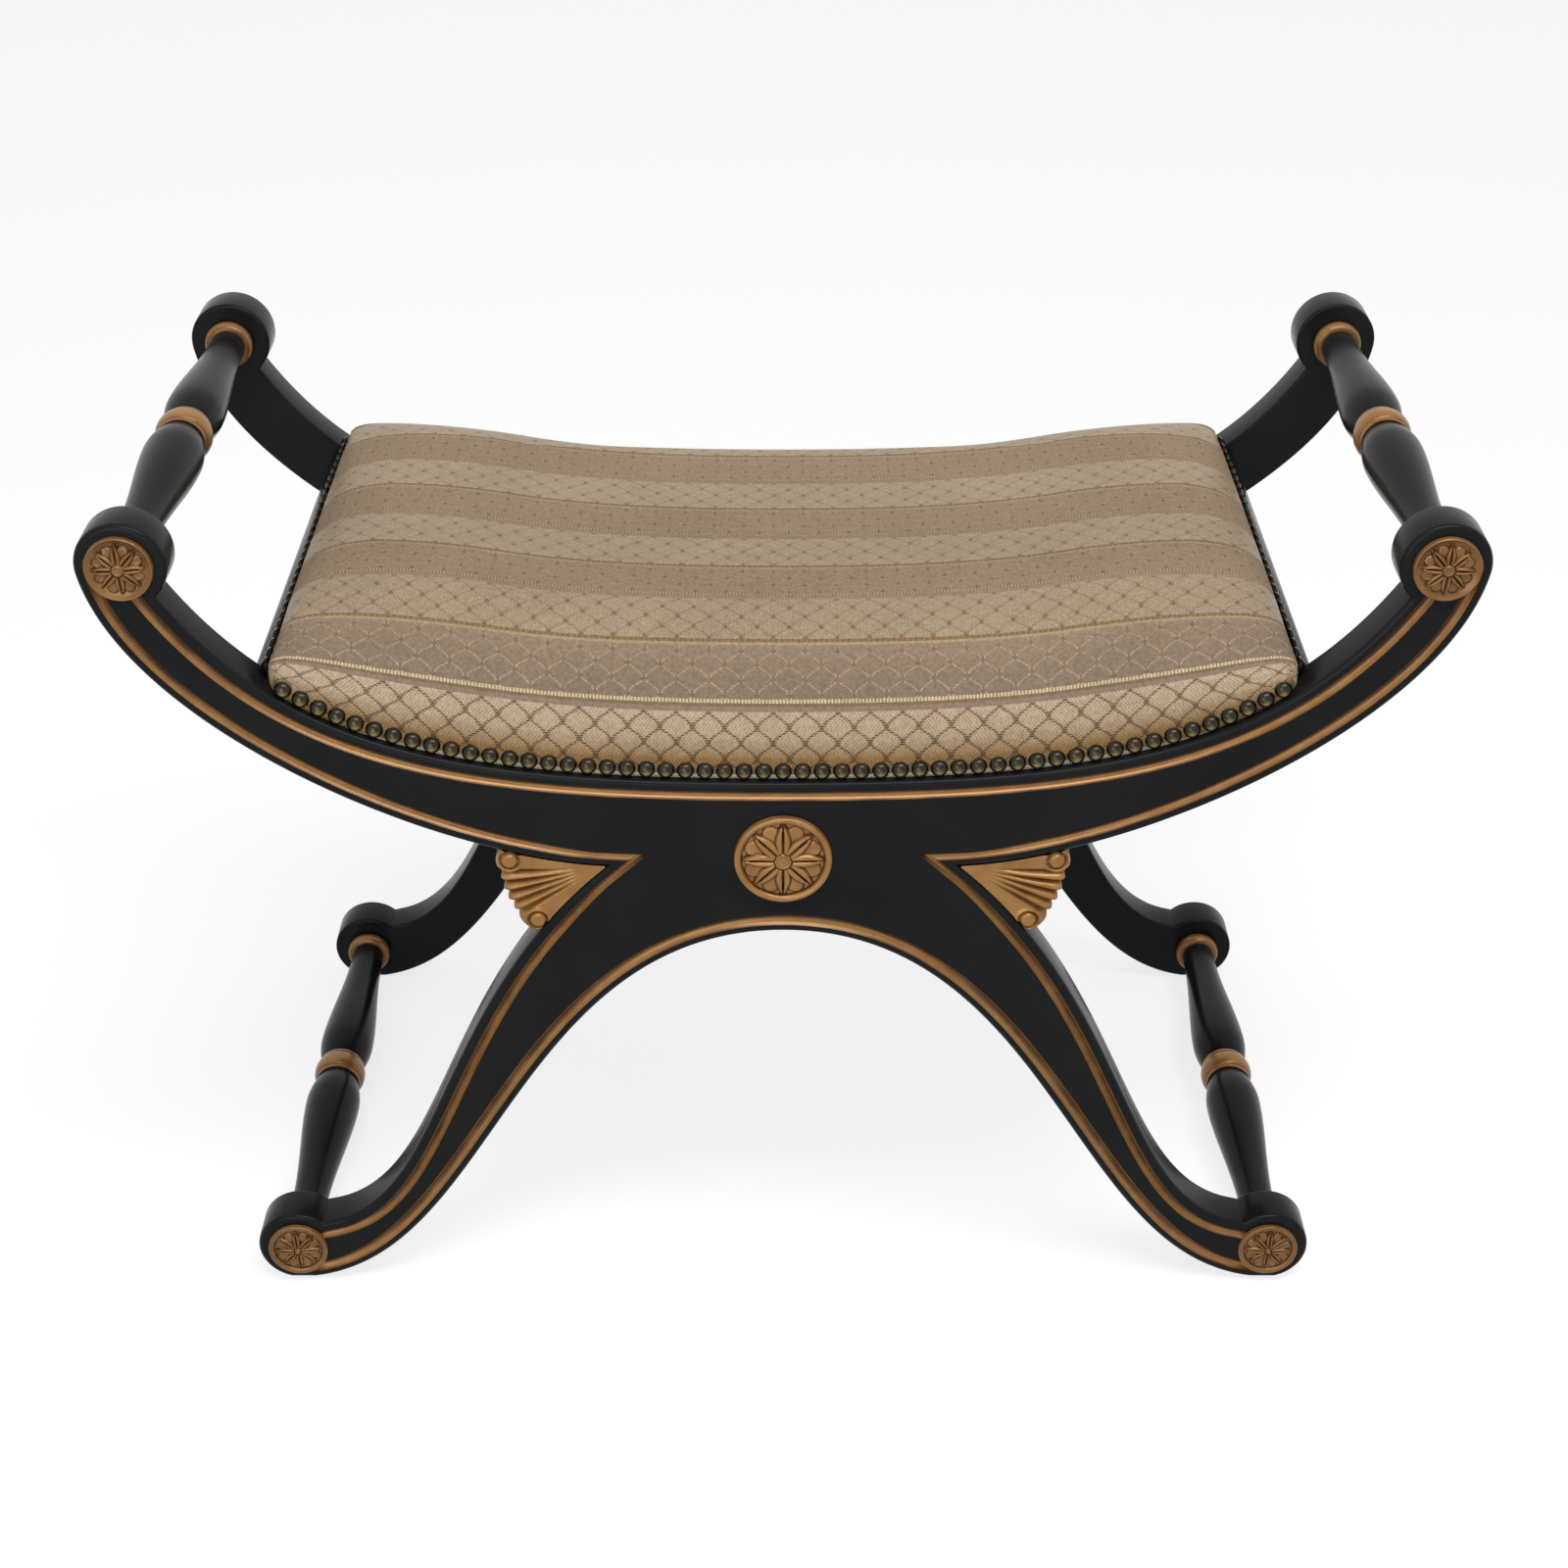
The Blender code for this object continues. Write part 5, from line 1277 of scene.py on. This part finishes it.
# jute: coarse brown threads over and under each other, matt and hairy
juteForm = {
    "shader": {"Roughness": 0.95}, "toneRange": (0.05, 0.6), "tones": ("#7a613d", "#b39a6d"),
    "relief": {"Strength": 0.6, "Distance": 0.0006}, "weave": {"Distortion": 1.5, "Detail Scale": 3.0},
    "wavesInUnit": 10 / math.pi,  # of the wave texture at scale 1
}


def makeJute(name, threadMm):
    form = juteForm
    material, tree, shader = newFinish(name, form["shader"])
    place = addNode(tree, "ShaderNodeTexCoord").outputs["Object"]
    threads = {"Vector": place, "Scale": mmInMetre / threadMm / form["wavesInUnit"], **form["weave"]}
    warp, weft = (addNode(tree, "ShaderNodeTexWave", {"bands_direction": way}, threads) for way in ("X", "Y"))
    mesh = addNode(tree, "ShaderNodeMath", {"operation": "MULTIPLY"}, (warp, weft))
    dressFinish(tree, shader, form, mesh, mesh)
    return material


# webbing straps and the hessian platform over them, with threads coarse enough to show
sheetForm = {
    "strapPitch": 0.085, "strapWidth": 0.050, "strapThick": 0.0015, "straps": 7, "strapBottom": 0.0123,
    "strapColumns": 10, "strapThreadMm": 2.5, "hessianHalfX": 0.320, "hessianThick": 0.001,
    "hessianBottom": 0.0141, "hessianColumns": 80, "hessianThreadMm": 3, "halfY": 0.1945, "lines": 33,
}


def buildSheet(name, kind, lowX, highX, finish, node):
    form = sheetForm
    thick, columns = form[kind + "Thick"], form[kind + "Columns"]
    xs = np.linspace(lowX, highX, columns + 1)
    ys = np.linspace(-form["halfY"], form["halfY"], form["lines"])
    points = [(x, y, lip(x) + form[kind + "Bottom"] + thick / 2) for x in xs for y in ys]
    faces = rowFaces(gridRows(len(xs), len(ys)), closed=False)
    piece = newPiece(name, points, faces, [finish])
    wall = piece.modifiers.new("thickness", "SOLIDIFY")
    wall.thickness, wall.offset = thick, 0.0
    bakeModifiers(piece)
    seatPiece(piece, "jute", node)
    return piece, float(lineRun(np.stack([xs, lip(xs)], 1))[-1])


jute = makeJute("juteWebbing", sheetForm["strapThreadMm"])
hessian = makeJute("juteHessian", sheetForm["hessianThreadMm"])
strapNames = []
for k in range(sheetForm["straps"]):
    middle = (k - (sheetForm["straps"] - 1) / 2) * sheetForm["strapPitch"]
    low, high = middle - sheetForm["strapWidth"] / 2, middle + sheetForm["strapWidth"] / 2
    strapNames.append("jute_strap_%d" % (k + 1))
    strap, width = buildSheet(strapNames[-1], "strap", low, high, jute, "webbing_strap_%d" % (k + 1))
high = sheetForm["hessianHalfX"]
platform, width = buildSheet("jute_platform", "hessian", -high, high, hessian, "hessian_platform")
print("webbing and hessian stretched")


# sawn beech, pale brown with dark flecks along the grain, and moulded nylon, grey brown and faintly pitted
fleckForms = {
    "sawnBeech": {
        "shader": {"Roughness": 0.65}, "fleckMm": (25, 4, 4), "toneRange": (0.35, 0.65),
        "tones": ("#a98460", "#cba983"), "relief": {"Strength": 0.2, "Distance": 0.0004}, "detail": 6.0,
    },
    "mouldedNylon": {
        "shader": {"Roughness": 0.5, "IOR": 1.53}, "fleckMm": (1.4, 1.4, 1.4), "detail": 2.0,
        "toneRange": (0.3, 0.7), "tones": ("#5f5850", "#6f675e"),
        "relief": {"Strength": 0.15, "Distance": 0.0002},
    },
}


def makeFlecked(name):
    form = fleckForms[name]
    material, tree, shader = newFinish(name, form["shader"])
    place = addNode(tree, "ShaderNodeTexCoord").outputs["Object"]
    drawn = addNode(tree, "ShaderNodeMapping", None,
                    {"Vector": place, "Scale": [mmInMetre / size for size in form["fleckMm"]]})
    flecks = addNode(tree, "ShaderNodeTexNoise", None,
                     {"Vector": drawn, "Scale": 1.0, "Detail": form["detail"]})
    dressFinish(tree, shader, form, flecks, flecks)
    return material


hiddenFinishes = {
    "glue_block": lacquer, "spline": makeFlecked("sawnBeech"), "glide": makeFlecked("mouldedNylon"),
}
for name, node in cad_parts.items():
    for word, finish in hiddenFinishes.items():
        if word in name:
            node.data.materials.clear()
            node.data.materials.append(finish)
print("hidden parts finished")
